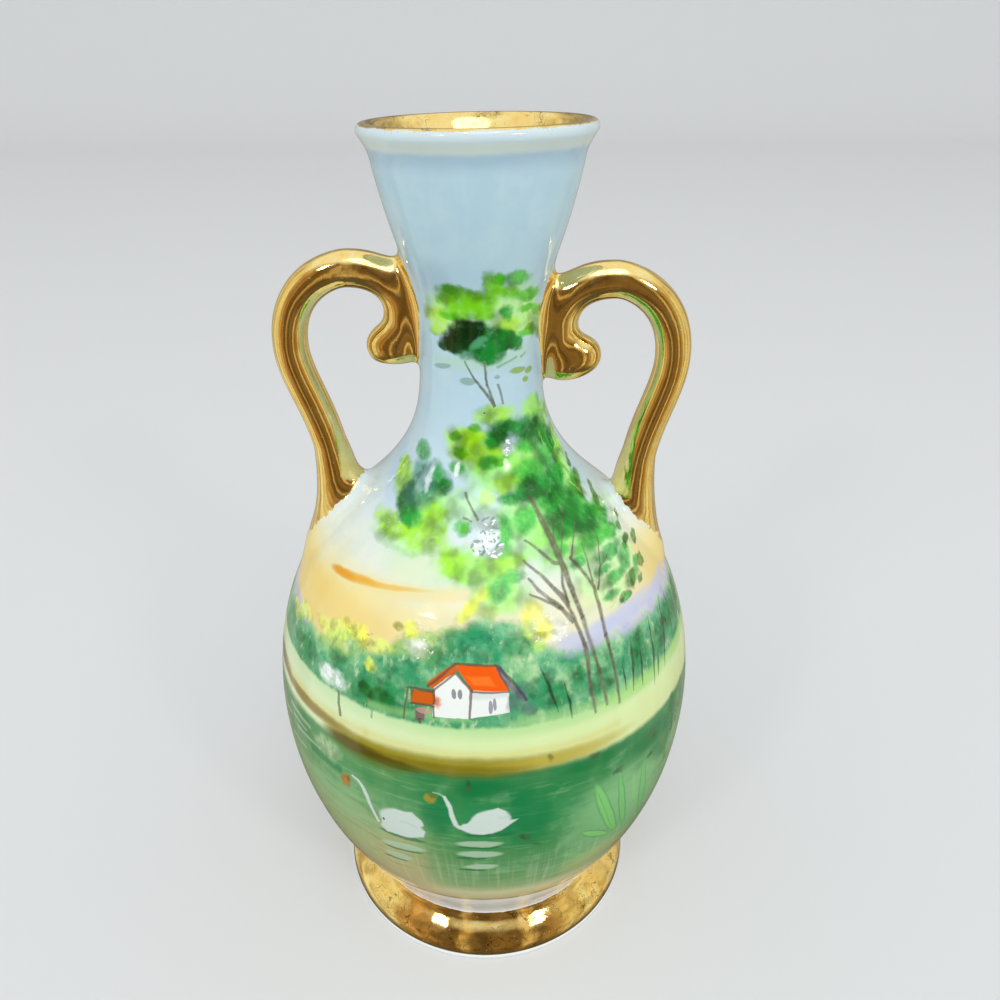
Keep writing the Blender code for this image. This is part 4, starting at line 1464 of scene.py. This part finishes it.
    # The white cottage with its orange-red roofs and the lean-to beside it
    LINE = Paint((104, 78, 58), 0.8, 0.12)
    COTTAGE = (
        Paint((132, 78, 44), 0.85, 0.2).planes(((-18.7, 49.6), (-12, 49.8), (-12.4, 51.6), (-19, 51.3))),
        Paint((234, 238, 232)).planes(
            ((-12.9, 48.5), (-3.8, 48.6), (-3.6, 52), (-7.8, 54.2), (-13, 52)),
            ((-3.9, 48.7), (5.8, 49.2), (5.8, 51.9), (-3.6, 52.1))
        ),
        Paint((206, 208, 206), 0.6, 0.5).planes(((-3.6, 50.9), (5.6, 51.1), (5.6, 51.9), (-3.6, 52))),
        Paint((240, 92, 14)).planes(((-3.4, 52), (5.8, 51.8), (2.6, 54.9), (-7.7, 54.9))),
        Paint((250, 132, 44), 0.6, 0.4).planes(((-3, 52.6), (2.6, 52.5), (1.2, 53.6), (-5, 53.6))),
        Paint((206, 96, 30)).path(0.95, 0.85, (-7.6, 54.6), (-10.8, 53.6), (-14.2, 52.1)),
        Paint((206, 94, 22)).planes(((-18.6, 49.9), (-12.2, 50), (-12.8, 51.3), (-18.2, 51.3))),
        foliage((246, 116, 30), 0.85, 0.8).dabs((-11.7, 50.2, 0.55, 0.7)),
        Paint((118, 82, 96), 0.85, 0.3).planes(((-17.2, 47.6), (-14.9, 47.8), (-14.8, 49.3), (-17.4, 49.3))),
        Paint((206, 154, 140), 0.7, 0.3).dabs((-15.2, 49, 1, 0.35)),
        Paint((126, 104, 132), 0.8, 0.3).path(0.7, 0.6, (3.4, 54.6), (6, 52.6), (9.9, 50.5)),
        foliage((74, 84, 96), 0.6, 0.8).dabs((7.6, 50.9, 0.8, 1.9, -38), (10, 49.6, 1, 0.9)),
        Paint((60, 62, 60), 0.7, 0.2).path(0.4, 0.35, (3.2, 54.8), (7.4, 52.6), (10.2, 50.4)),
        Paint((104, 106, 114), 0.8).dabs((-7.9, 51.5, 0.28, 0.62), (-6.3, 51.5, 0.26, 0.62)),
        Paint((128, 120, 140), 0.8).dabs((1.1, 50, 0.26, 0.85), (2.2, 50.3, 0.24, 0.8)),
        LINE.lines(
            (-14.6, 52, -7.8, 55, 0.28, 0.32), (-7.8, 55, 2.8, 54.9, 0.3, 0.3), (-7.6, 54, -3.4, 51.9, 0.3, 0.36),
            (-13, 51.7, -7.8, 53.9, 0.22, 0.26), (-3.7, 52, -3.9, 48.6, 0.36, 0.28),
            (-3.4, 51.8, 5.8, 51.7, 0.26, 0.22), (-13, 51.6, -12.5, 48.4, 0.3, 0.24),
            (-19.9, 51.5, -20.1, 47.5, 0.26, 0.2), (-19.6, 51.5, -12.8, 51.6, 0.26, 0.24),
            (2.8, 54.9, 5.9, 51.8, 0.26, 0.2), (-18.7, 49.7, -12.4, 49.7, 0.24, 0.24),
            (-16.2, 48, -15.9, 47.3, 0.5, 0.3)
        ),
    )

    # Trunks, branches and the thin stems in front of the bushes
    BARK = foliage((98, 92, 72), 0.88, 0.3)
    FADED = foliage((96, 98, 78), 0.75, 0.4)
    TWIG = foliage((104, 100, 84), 0.82, 0.22)
    STEM = foliage((24, 66, 40), 0.88, 0.25)
    TRUNKS = (
        BARK.path(0.4, 0.85, (26.9, 74.4), (27.6, 73.4), (28.6, 71.4), (29.6, 68.9), (29.6, 66.3)),
        BARK.path(0.8, 0.55, (29.6, 66.4), (29.6, 61.8), (29.8, 58.3)),
        FADED.path(0.6, 0.35, (29.8, 58.4), (30.3, 54.5), (30.9, 50.4), (31.4, 46.9)),
        BARK.path(0.3, 0.55, (29.2, 65.2), (26.9, 62.6), (26.4, 60.2), (27.7, 56.8), (28.4, 54.4)),
        FADED.path(0.65, 0.35, (28.4, 55.4), (27.8, 52.6), (27.2, 50.3), (27.9, 46.6)),
        BARK.path(0.35, 0.55, (33.8, 65.6), (36.3, 63.2), (37.7, 61.1), (36.8, 58.8), (35.7, 55.2)),
        FADED.path(0.55, 0.3, (35.7, 55.4), (35.7, 51), (35.3, 46.4)),
        TWIG.path(0.22, 0.6, (17.9, 69.1), (22.9, 67.4), (26.3, 65.6), (29, 65.3)),
        TWIG.path(0.2, 0.7, (15, 66.7), (19.6, 64.8), (23.6, 62.6), (26.6, 60.4)),
        TWIG.path(0.25, 0.6, (15.4, 64.5), (18.6, 62.6), (23.6, 60.4), (26.6, 58.2)),
        TWIG.path(0.2, 0.5, (14.7, 62.6), (19.4, 61.5), (24.6, 59.9)),
        TWIG.path(0.15, 0.35, (34.8, 71), (31.6, 69), (29.6, 67.6)),
        TWIG.path(0.15, 0.35, (39.9, 70.4), (35.3, 68.4), (30.2, 66)),
        TWIG.path(0.2, 0.4, (45.2, 69.2), (37.8, 66.8), (33.9, 65.2)),
        TWIG.path(0.15, 0.35, (42.4, 66.7), (39.5, 63.8), (38.1, 61.6)),
        TWIG.path(0.2, 0.4, (51.3, 66.2), (44.6, 63.2), (38.6, 60.6)),
        TWIG.path(0.15, 0.3, (54.9, 64.4), (48.2, 63.3), (43.9, 62.9)),
        TWIG.path(0.3, 0.35, (-10.6, 75.4), (-5.8, 73.4), (-2.5, 72)),
        TWIG.lines((-10.2, 72.3, -5.6, 71.8, 0.35, 0.2)),
        FADED.lines(
            (28.1, 54.6, 27.6, 47.6, 0.6, 0.2), (30.4, 54, 31.2, 47.6, 0.4, 0.2), (35.7, 54, 35.4, 47, 0.4, 0.2)
        ),
        STEM.blades(
            (14.6, 54.2, 17.9, 48.3, 0.45), (20.4, 51.6, 21.4, 47, 0.32), (43.6, 53.4, 40.5, 46.8, 0.55),
            (46.7, 52.4, 44, 46.6, 0.45), (53.6, 54, 48.9, 45.4, 0.5), (63, 54.6, 54.9, 46.2, 0.55),
            (53.4, 49.4, 51.2, 46, 0.45), (64.8, 41.6, 64.5, 38.2, 0.25), (67.5, 54.2, 64.2, 48.4, 0.4),
            (38.4, 51, 38, 47.4, 0.3)
        ),
        foliage((206, 226, 208), 0.7, 0.6).dabs((-42.6, 48.8, 2.6, 1.3)),
        Paint((120, 150, 130), 0.6, 0.3).flecks(-42.6, 48.8, 1.6, 1, 15, 0.2),
        foliage((230, 238, 232), 0.55, 0.5).dabs(
            (-43.6, 49.3, 1.3, 0.5), (-40.6, 48.6, 0.9, 0.5), (-45, 48.3, 0.7, 0.35)
        ),
        Paint((112, 128, 96), 0.9).path(0.4, 0.5, (-39.8, 47.8), (-39.3, 46.2), (-38.3, 44.5)),
        Paint((120, 150, 120), 0.7).lines((-28.8, 46.2, -28.8, 47.4, 0.3, 0.25)),
    )

    # Two white swans on the water with their broken reflections
    WHITE = Paint((206, 219, 209), 0.95, 0.26)
    WAVE = Paint((178, 204, 172), 0.8, 0.4)
    SHADE = Paint((28, 112, 66), 0.7, 0.4)
    SWANS = (
        SHADE.dabs((-21.5, 28.6, 3.2, 0.5), (0.5, 31.2, 3.2, 0.4), (-2, 28.7, 2.6, 0.35), (-4, 26.3, 2, 0.4)),
        SHADE.dabs((-22, 25.5, 2.8, 0.35, 8), (-4, 23.3, 1.8, 0.3), (-25, 22.5, 1.8, 0.3, 6)),
        WAVE.dabs((-22, 26.3, 3.1, 0.75, 9), (-24, 23.4, 2, 0.8, 6), (-2, 29.4, 2.8, 0.65), (-2, 27.2, 2.8, 0.7)),
        WAVE.dabs((-1.8, 24.2, 2.1, 0.65, 4)),
        WHITE.planes(
            ((-27.3, 29.5), (-25.7, 28.6), (-20.3, 28.9), (-15.6, 29.7), (-15, 30.9), (-17, 31.6), (-26.3, 31)),
            ((-26.9, 30.4), (-20, 30.6), (-15.2, 31.9), (-15.6, 32.7), (-17.9, 33.9), (-22.5, 33.6), (-25.6, 32.2)),
            ((-7, 32.3), (-1.2, 31.3), (3.3, 32), (7.3, 33.9), (-5.6, 33.3)),
            ((-5.6, 32.9), (4.4, 33.7), (4.3, 35.4), (2.4, 36), (-2, 35.1))
        ),
        WHITE.dabs(
            (-21.4, 31.6, 2.9, 2.1, 4), (-21, 30.2, 2.7, 1.5, 6), (0.8, 33.8, 2.5, 1.9, 16), (-1, 32.6, 2.6, 1.2, 4)
        ),
        WHITE.path(0.42, 0.62, (-27.8, 30), (-29.4, 32.4), (-30.4, 34.2)),
        WHITE.path(0.62, 0.3, (-30.4, 34.2), (-31.3, 35.4), (-32.6, 36.1), (-34.5, 36.4)),
        WHITE.path(0.5, 0.66, (-5.4, 32.4), (-7.3, 32.8), (-8.2, 34.6)),
        WHITE.path(0.66, 0.42, (-8.2, 34.6), (-9, 36.4), (-9.9, 37.7)),
        Paint((186, 210, 180), 0.6, 0.2).path(0.32, 0.16, (-9.9, 37.6), (-11, 37.9), (-12.8, 38)),
        foliage((164, 98, 26), 0.9, 0.9).dabs((-36.8, 34.9, 0.8, 1), (-36, 35.6, 0.5, 0.6)),
        foliage((150, 134, 44), 0.85, 0.9).dabs((-13.3, 36.9, 0.7, 0.8)),
        Paint((54, 66, 54), 0.9).dabs((-26, 31, 0.16, 0.26)),
        Paint((178, 198, 186), 0.5, 0.3).lines(
            (-21.5, 31.6, -17, 31.2, 0.3, 0.4, 0.3), (2.5, 34.2, 5.6, 34.4, 0.3, 0.2)
        ),
    )

    # Pale reeds at the right of the water, each with a darker edge
    LONG_LEAVES = ((31.3, 29.8, 6.2, 0.8, -71), (29, 25.9, 2.7, 0.5, -38))
    SLIM_LEAVES = ((36.6, 29.5, 6, 0.45, -81), (44.8, 28.5, 6.2, 0.55, -85), (40.5, 31, 3.2, 0.3, -80))
    EDGED = (*LONG_LEAVES, *SLIM_LEAVES[:2])
    EDGES = [(turn, run, wide + 0.25, tall + 0.2, tilt) for turn, run, wide, tall, tilt in EDGED]
    REEDS = (
        Paint((70, 158, 84), 0.65, 0.3).dabs(*EDGES),
        Paint((138, 208, 118), 0.75, 0.35).dabs(*LONG_LEAVES),
        Paint((134, 204, 122), 0.7, 0.4).dabs(*SLIM_LEAVES),
        Paint((140, 196, 124), 0.45, 0.7).dabs((24.4, 22.2, 2.6, 0.5, -40)),
        Paint((92, 172, 92), 0.5, 0.15).lines((28, 34, 34.6, 25.4, 0.2, 0.15)),
        Paint((30, 112, 56), 0.9, 0.6).dabs((57, 39.6, 0.9, 1.7, 12), (57.6, 36.4, 0.5, 2.2, 4)),
        Paint((96, 140, 84), 0.6, 0.4).lines((64.5, 41.2, 64, 34.5, 0.5, 0.3), (52, 36, 56, 30, 1.4, 0.6)),
    )

    def elements(self) -> list:
        """Everything that is painted over the washes, in the order in which it is laid on."""
        land = (self.SKY, self.BUSHES, self.SHORE, self.CROWN, self.NECK_TREE, self.COTTAGE, self.TRUNKS)
        layers = (*land, self.SWANS, self.REEDS)
        return [item for layer in layers for row in layer for item in row]


class Ground(Enum):
    """Which washes a panel lies on."""

    LAND = "upper"
    SHORE = "both"
    WATER = "lower"


@dataclass(frozen=True)
class Panel:
    """A part of the surface with its own material: its place, its washes, whether gold meets it and whether its
    foliage is dabbed calmly, in larger and softer patches.
    """

    name: str
    turns: Pair
    runs: Pair
    ground: Ground
    gilded: bool = False
    calm: bool = False

    def holds(self, turn: np.ndarray, run: np.ndarray) -> np.ndarray:
        """Which of the places lie in the panel, whose turns may pass 180."""
        beyond = np.mod(turn - self.turns[0], 360) <= self.turns[1] - self.turns[0]
        return beyond & (run >= self.runs[0]) & (run < self.runs[1])

    def meets(self, low: np.ndarray, high: np.ndarray, chart: Chart) -> bool:
        """Whether a box of flat places reaches into the panel."""
        runs = np.arange(max(low[1], self.runs[0]), min(high[1], self.runs[1]), 0.4)
        radii = np.interp(runs, chart.runs, chart.radii)
        for share in np.linspace(0, 1, 9):
            turns = np.degrees((low[0] + share * (high[0] - low[0])) / radii)
            if self.holds(turns, runs).any():
                return True
        return False


@dataclass(frozen=True)
class Decorator:
    """Paints the vase: makes a material for each panel, with the strokes that reach it, and gives each face its own."""

    form: BodyForm
    gilding: Gilding = Gilding()
    glaze: Glaze = Glaze()
    dry_edge: Pair = (-6.3, -6.5)
    water_line: Pair = (40.6, 41.6)
    handle_lift: float = 1.4
    inside_lift: float = -0.95
    lip_run: float = 101.0
    panels: tuple[Panel, ...] = (
        Panel("foot", (-180, 180), (-9, 12), Ground.WATER, True),
        Panel("lake_low_left", (-80, -12), (12, 30), Ground.WATER),
        Panel("lake_low_right", (-12, 80), (12, 30), Ground.WATER),
        Panel("lake_left", (-80, -12), (30, 45), Ground.SHORE),
        Panel("lake_right", (-12, 80), (30, 45), Ground.SHORE),
        Panel("bushes_far_left", (-80, -48), (45, 58), Ground.LAND),
        Panel("bushes_left", (-48, -22), (45, 58), Ground.LAND),
        Panel("cottage", (-22, 13), (45, 58), Ground.LAND),
        Panel("bushes_right", (13, 33), (45, 58), Ground.LAND),
        Panel("bushes_far_right", (33, 80), (45, 58), Ground.LAND),
        Panel("glow_left", (-62, 8), (58, 66), Ground.LAND, calm=True),
        Panel("boughs_right", (8, 62), (58, 66), Ground.LAND, calm=True),
        Panel("crown_left", (-62, -7), (66, 76), Ground.LAND, calm=True),
        Panel("crown_middle", (-7, 11), (66, 76), Ground.LAND, calm=True),
        Panel("crown_right", (11, 62), (66, 76), Ground.LAND, calm=True),
        Panel("top_left", (-62, 0), (76, 87), Ground.LAND, calm=True),
        Panel("top_right", (0, 62), (76, 87), Ground.LAND, calm=True),
        Panel("neck", (-62, 62), (87, 104), Ground.LAND, calm=True),
        Panel("lip", (-180, 180), (104, 130), Ground.LAND, True),
        Panel("sides_low", (80, 280), (12, 58), Ground.SHORE, True),
        Panel("sides_high", (62, 298), (58, 104), Ground.LAND, True),
    )

    def chart(self) -> Chart:
        """The flat places of the body's outside."""
        detail = 20
        outline = self.form.outside(detail)
        length = np.concatenate([[0.0], np.cumsum(np.linalg.norm(np.diff(outline, axis=0), axis=1))])
        return Chart(length - length[1 + len(self.form.foot(detail))], outline[:, 0])

    def dress(self, vase: bpy.types.Object) -> None:
        """Adds the materials to the vase and assigns its faces.

        Args:
            vase: The finished mesh, with its run and lift.
        """
        chart = self.chart()
        washes = Washes()
        tools = {
            "chart": chart_effect(),
            "wobble": wobble_effect(),
            "oval_dab": dab_effect(False),
            "leaf_dab": dab_effect(True),
            "line_stroke": stroke_effect(),
            "leaves": leaf_effect(),
            "upper": washes.upper(),
            "lower": washes.lower(),
            "gilding": self.gilding.effect(),
        }
        tools["relief"] = self.glaze.relief(chart, tools["oval_dab"])
        elements = LakePicture().elements()
        mesh = vase.data
        mesh.materials.clear()
        turn, run, lift = self.places(mesh)
        slot = np.full(len(turn), len(self.panels) - 1)
        for number, panel in enumerate(self.panels):
            slot[panel.holds(turn, run)] = number
            held = [item for item in elements if panel.meets(*item.reach(chart), chart)]
            mesh.materials.append(self.painted(panel, held, chart, tools))
            log.info("panel %s: %d strokes", panel.name, len(held))
        mesh.materials.append(self.plain_gold(tools))
        mesh.materials.append(self.bare_inside(tools))
        slot[lift > self.handle_lift] = len(self.panels)
        slot[(lift < self.inside_lift) & (run < self.lip_run)] = len(self.panels) + 1
        mesh.polygons.foreach_set("material_index", slot.astype(np.int32))
        mesh.update()

    @staticmethod
    def places(mesh: bpy.types.Mesh) -> tuple[np.ndarray, np.ndarray, np.ndarray]:
        """Turn, run and lift at the middle of each face."""
        corners = np.empty(len(mesh.loops), np.int32)
        mesh.loops.foreach_get("vertex_index", corners)
        starts = np.empty(len(mesh.polygons), np.int32)
        mesh.polygons.foreach_get("loop_start", starts)
        sizes = np.diff(np.append(starts, len(corners)))
        points = np.empty(len(mesh.vertices) * 3, np.float32)
        mesh.vertices.foreach_get("co", points)
        points = points.reshape(-1, 3)
        kept = []
        stored = (Decorator.attribute(mesh, name) for name in ("run", "lift"))
        for values in (points[:, 0], points[:, 1], *stored):
            kept.append(np.add.reduceat(values[corners], starts) / sizes)
        return np.degrees(np.arctan2(kept[0], -kept[1])), kept[2], kept[3]

    @staticmethod
    def attribute(mesh: bpy.types.Mesh, name: str) -> np.ndarray:
        """The values of a number that is stored at each vertex."""
        values = np.empty(len(mesh.vertices), np.float32)
        mesh.attributes[name].data.foreach_get("value", values)
        return values

    def new_material(self, name: str) -> tuple[bpy.types.Material, Desk, bpy.types.Node]:
        """A material with its desk and its Principled shader."""
        made = bpy.data.materials.new(name)
        made.use_nodes = True
        made.node_tree.nodes.clear()
        desk = Desk(made.node_tree)
        shader = desk.node("ShaderNodeBsdfPrincipled")
        output = desk.node("ShaderNodeOutputMaterial")
        made.node_tree.links.new(shader.outputs[0], output.inputs["Surface"])
        shader.inputs["IOR"].default_value = self.glaze.index
        return made, desk, shader

    @staticmethod
    def surface(desk: Desk, shader: bpy.types.Node, tools: dict, spot: bpy.types.Node, gold: object) -> None:
        """Links the fine relief to the shader's normal.

        Args:
            desk: Where the material's nodes go.
            shader: The material's Principled shader.
            tools: The node groups.
            spot: The chart's group in this material.
            gold: Where gold lies, as a socket or a number.
        """
        relief = desk.group(tools["relief"], Body=spot.outputs["Body"], Place=spot.outputs["Place"], Gold=gold)
        bump = desk.node("ShaderNodeBump")
        bump.inputs["Distance"].default_value = MM
        desk.feed(bump.inputs["Height"], relief.outputs["Height"])
        desk.feed(shader.inputs["Normal"], bump.outputs["Normal"])

    def painted(self, panel: Panel, strokes: list, chart: Chart, tools: dict) -> bpy.types.Material:
        """The material of one panel.

        Args:
            panel: Where it lies.
            strokes: The picture's elements that reach it, in order.
            chart: The flat places.
            tools: The node groups.

        Returns:
            The material.
        """
        made, desk, shader = self.new_material("painted_" + panel.name)
        spot = desk.group(tools["chart"])
        body, place = spot.outputs["Body"], spot.outputs["Place"]
        steady = desk.group(tools["wobble"], Place=place, Body=body, Scale=0.5, Amount=0.4).outputs[0]
        run = desk.split(steady)["Y"]
        flow = {"Run": run, "Turn": spot.outputs["Turn"], "Body": body}
        colour = None
        if panel.ground != Ground.LAND:
            colour = desk.group(tools["lower"], **flow).outputs["Color"]
        if panel.ground != Ground.WATER:
            land = desk.group(tools["upper"], **flow).outputs["Color"]
            colour = land if colour is None else desk.mix(desk.ease(run, *self.water_line), colour, land)
        easel = Easel(desk, chart, tools, steady)
        if any(item.paint.leafy for item in strokes):
            patch, spread = (0.4, 1.2) if panel.calm else (0.75, 1.5)
            leaves = desk.group(tools["leaves"], Body=body)
            brushed = desk.noise(desk.vector("MULTIPLY", body, (1.0, 1.0, 0.8)), patch, 1.5, 0.55)
            easel.grain = desk.ease(brushed, 0.34, 0.62)
            easel.ragged, easel.cover = leaves.outputs["Ragged"], leaves.outputs["Cover"]
            easel.loose = desk.group(tools["wobble"], Place=place, Body=body, Scale=0.6, Amount=spread).outputs[0]
            if panel.calm:
                easel.ragged = desk.times(easel.ragged, 0.6)
        for item in strokes:
            colour = item.lay(easel, colour)
        gold = 0.0
        if panel.gilded:
            gilt = desk.group(tools["gilding"], Body=body, Run=spot.outputs["Run"], Lift=spot.outputs["Lift"])
            gold = gilt.outputs["Mask"]
            colour = desk.mix(gold, colour, gilt.outputs["Color"])
            desk.feed(shader.inputs["Metallic"], gold)
            bare = desk.ease(spot.outputs["Run"], *self.dry_edge, self.glaze.roughness, self.glaze.bare_roughness)
            rough = desk.node("ShaderNodeMix", data_type="FLOAT")
            for index, value in enumerate((gold, None, bare, gilt.outputs["Roughness"])):
                desk.feed(rough.inputs[index], value)
            desk.feed(shader.inputs["Roughness"], rough.outputs[0])
        else:
            shader.inputs["Roughness"].default_value = self.glaze.roughness
        desk.feed(shader.inputs["Base Color"], colour)
        self.surface(desk, shader, tools, spot, gold)
        return made

    def plain_gold(self, tools: dict) -> bpy.types.Material:
        """The handles' bright gold."""
        made, desk, shader = self.new_material("gilt_handles")
        spot = desk.group(tools["chart"])
        body, run, lift = (spot.outputs[name] for name in ("Body", "Run", "Lift"))
        gilt = desk.group(tools["gilding"], Body=body, Run=run, Lift=lift)
        tone = desk.mix(gilt.outputs["Mask"], (222, 222, 210), gilt.outputs["Color"])
        desk.feed(shader.inputs["Base Color"], tone)
        desk.feed(shader.inputs["Metallic"], gilt.outputs["Mask"])
        desk.feed(shader.inputs["Roughness"], gilt.outputs["Roughness"])
        self.surface(desk, shader, tools, spot, gilt.outputs["Mask"])
        return made

    def bare_inside(self, tools: dict) -> bpy.types.Material:
        """The white glaze inside the vase and the dry, unglazed porcelain of the underside."""
        made, desk, shader = self.new_material("white_porcelain")
        spot = desk.group(tools["chart"])
        body = spot.outputs["Body"]
        grime = desk.noise(body, 0.25, 4.0, 0.6)
        tint = desk.ramp(grime, [(0.3, (208, 208, 198)), (0.7, (228, 230, 222))], 0.2, 0.8)
        desk.feed(shader.inputs["Base Color"], tint)
        standing = desk.scaled(grime, 0.25, desk.ease(desk.split(body)["Z"], 1.2, 0.2, 0.0, 0.5))
        desk.feed(shader.inputs["Roughness"], standing)
        self.surface(desk, shader, tools, spot, 0.0)
        return made


@dataclass(frozen=True)
class Studio:
    """The floor, the surroundings, the lamps and the camera, in metres and degrees."""

    camera_place: tuple[float, float, float] = (0.0, -0.09903, 0.12046)
    pitch: float = 0.499521
    yaw: float = 0.0237443
    roll: float = 0.0024094
    lens: float = 29.602
    floor_size: float = 6.0
    ROOM = [
        (azimuth, (*colour, 1.0))
        for azimuth, colour in (
            (-180, (0.40, 0.38, 0.34)), (-140, (0.60, 0.56, 0.46)), (-124, (0.96, 0.92, 0.80)),
            (-110, (0.60, 0.50, 0.34)), (-100, (0.98, 0.94, 0.78)), (-84, (0.88, 0.80, 0.58)),
            (-72, (0.98, 0.92, 0.72)), (-63, (0.48, 0.32, 0.16)), (-55, (0.78, 0.50, 0.24)),
            (-47, (0.40, 0.25, 0.11)), (-40, (0.42, 0.26, 0.12)), (-33, (0.20, 0.12, 0.05)),
            (-22, (0.16, 0.10, 0.04)), (-17, (0.90, 0.66, 0.36)), (-12, (0.20, 0.12, 0.05)), (-2, (0.12, 0.08, 0.04)),
            (4, (0.28, 0.17, 0.08)), (10, (0.22, 0.14, 0.06)), (21, (0.18, 0.12, 0.05)), (27, (0.90, 0.68, 0.38)),
            (34, (0.20, 0.13, 0.06)), (42, (0.38, 0.25, 0.12)), (50, (0.50, 0.36, 0.18)), (60, (0.96, 0.86, 0.58)),
            (66, (0.56, 0.44, 0.26)), (74, (0.98, 0.92, 0.70)), (90, (0.76, 0.66, 0.46)), (106, (0.82, 0.77, 0.64)),
            (124, (0.50, 0.46, 0.36)), (140, (0.64, 0.60, 0.52)), (180, (0.40, 0.38, 0.34))
        )
    ]

    def camera(self) -> bpy.types.Object:
        """The camera at the photograph's place, close above the front."""
        sin, cos = math.sin, math.cos
        forward = Vector((sin(self.yaw) * cos(self.pitch), cos(self.yaw) * cos(self.pitch), -sin(self.pitch)))
        level = Vector((cos(self.yaw), -sin(self.yaw), 0.0))
        down = forward.cross(level)
        right = cos(self.roll) * level + sin(self.roll) * down
        below = -sin(self.roll) * level + cos(self.roll) * down
        made = bpy.data.objects.new("camera", bpy.data.cameras.new("camera"))
        turned = Matrix((right, -below, -forward)).transposed().to_4x4()
        made.matrix_world = Matrix.Translation(self.camera_place) @ turned
        made.data.lens = self.lens
        made.data.sensor_width = 36.0
        made.data.clip_start = 0.002
        made.data.clip_end = 20.0
        bpy.context.scene.collection.objects.link(made)
        bpy.context.scene.camera = made
        return made

    def lamp(self, name: str, azimuth: float, elevation: float, distance: float, size: float, power: float) -> None:
        """A soft round lamp aimed at the vase.

        Args:
            name: The lamp's name.
            azimuth: Direction seen from the vase, in degrees from the front, positive to the right.
            elevation: Height above the horizon in degrees.
            distance: Distance from the vase's middle.
            size: Width of the lamp.
            power: Its strength in watts.
        """
        turn, rise = math.radians(azimuth), math.radians(elevation)
        way = Vector((math.sin(turn) * math.cos(rise), -math.cos(turn) * math.cos(rise), math.sin(rise)))
        light = bpy.data.lights.new(name, "AREA")
        light.shape = "DISK"
        light.size = size
        light.energy = power
        made = bpy.data.objects.new(name, light)
        made.location = Vector((0, 0, 0.06)) + way * distance
        made.rotation_mode = "QUATERNION"
        made.rotation_quaternion = way.to_track_quat("Z", "Y")
        bpy.context.scene.collection.objects.link(made)

    def floor(self) -> None:
        """A plain pale floor that runs up into a backdrop on a wide curve."""
        half = self.floor_size / 2
        line = [(-half, 0.0)]
        line += [(1.2 + 0.5 * math.sin(t), 0.5 - 0.5 * math.cos(t)) for t in np.linspace(0, UP, 24)]
        line += [(1.7, half)]
        across = np.linspace(-half, half, 5)
        points = [(x, y, z) for y, z in line for x in across]
        count = len(across)
        faces = []
        for row in range(len(line) - 1):
            for k in range(count - 1):
                low = row * count + k
                faces.append((low, low + 1, low + count + 1, low + count))
        made = mesh_object("floor", np.array(points) / MM, faces)
        paint = bpy.data.materials.new("pale_floor")
        paint.use_nodes = True
        shader = paint.node_tree.nodes["Principled BSDF"]
        shader.inputs["Base Color"].default_value = (0.72, 0.72, 0.72, 1.0)
        shader.inputs["Roughness"].default_value = 0.8
        made.data.materials.append(paint)
        made.visible_glossy = False

    def build(self) -> None:
        """Sets up the camera, floor, surroundings and lamps."""
        self.camera()
        self.floor()
        scene = bpy.context.scene
        scene.view_settings.view_transform = "Standard"
        scene.world = bpy.data.worlds.new("studio")
        self.surroundings(scene.world)
        self.lamp("front_lamp", 9, 60, 0.9, 0.5, 1.15)
        self.lamp("left_lamp", -38, 33, 0.9, 0.12, 0.7)
        self.lamp("right_lamp", 38, 31, 0.9, 0.12, 0.7)

    def surroundings(self, world: bpy.types.World) -> None:
        """Even, pale light on all sides. Gloss mirrors a room that is dark below and bright overhead."""
        world.use_nodes = True
        world.node_tree.nodes.clear()
        desk = Desk(world.node_tree)
        way = desk.node("ShaderNodeTexCoord").outputs["Generated"]
        parts = desk.split(way)
        turn = desk.math("ARCTAN2", parts["X"], desk.times(parts["Y"], -1.0))
        room = desk.ramp(desk.times(turn, 180 / math.pi), self.ROOM, -180, 180)
        ripple = desk.noise(desk.vector("MULTIPLY", way, (9.0, 9.0, 1.6)), 1.0, 3.0, 0.6)
        ripple = desk.ramp(ripple, [(0.36, (0.55, 0.52, 0.46, 1)), (0.58, (1, 1, 1, 1))], 0.2, 0.8)
        room = desk.mix(1.0, room, ripple, "MULTIPLY")
        room = desk.mix(desk.ease(parts["Z"], -0.5, -0.85), room, (0.11, 0.09, 0.07, 1))
        room = desk.mix(desk.ease(parts["Z"], 0.52, 0.78), room, (0.95, 0.95, 0.93, 1))
        mirrored = desk.node("ShaderNodeLightPath").outputs["Is Glossy Ray"]
        light = desk.node("ShaderNodeBackground")
        desk.feed(light.inputs["Color"], desk.mix(mirrored, (0.92, 0.95, 0.97, 1.0), room))
        output = desk.node("ShaderNodeOutputWorld")
        desk.feed(output.inputs["Surface"], light.outputs[0])


def main() -> None:
    """Builds the scene in order and reports each piece."""
    logging.basicConfig(level=logging.INFO, format="%(message)s")
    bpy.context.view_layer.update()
    Studio().build()
    body = BodyForm()
    left = HandleForm(
        name="left_handle",
        side=-1,
        root=(20.1, 60.5),
        elbow=(23.8, 88.4),
        arch=(15.9, 97.8),
        stem=(9.3, 92.8),
        pad=(9.8, 88.4),
        ball=(11.8, 88.4),
        root_fillet=3.4,
    )
    right = HandleForm(
        name="right_handle",
        side=1,
        root=(20.9, 59.9),
        elbow=(23.9, 87.2),
        arch=(16.3, 96.6),
        stem=(9.5, 91.2),
        pad=(10.2, 86.3),
        ball=(12.6, 87.3),
        root_fillet=2.2,
    )
    vase = Vase(body, (left, right)).build()
    Decorator(body).dress(vase)
    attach(vase, "root")
    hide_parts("vase")
    log.info("%s: %d faces", vase.name, len(vase.data.polygons))


if __name__ == "__main__":
    main()
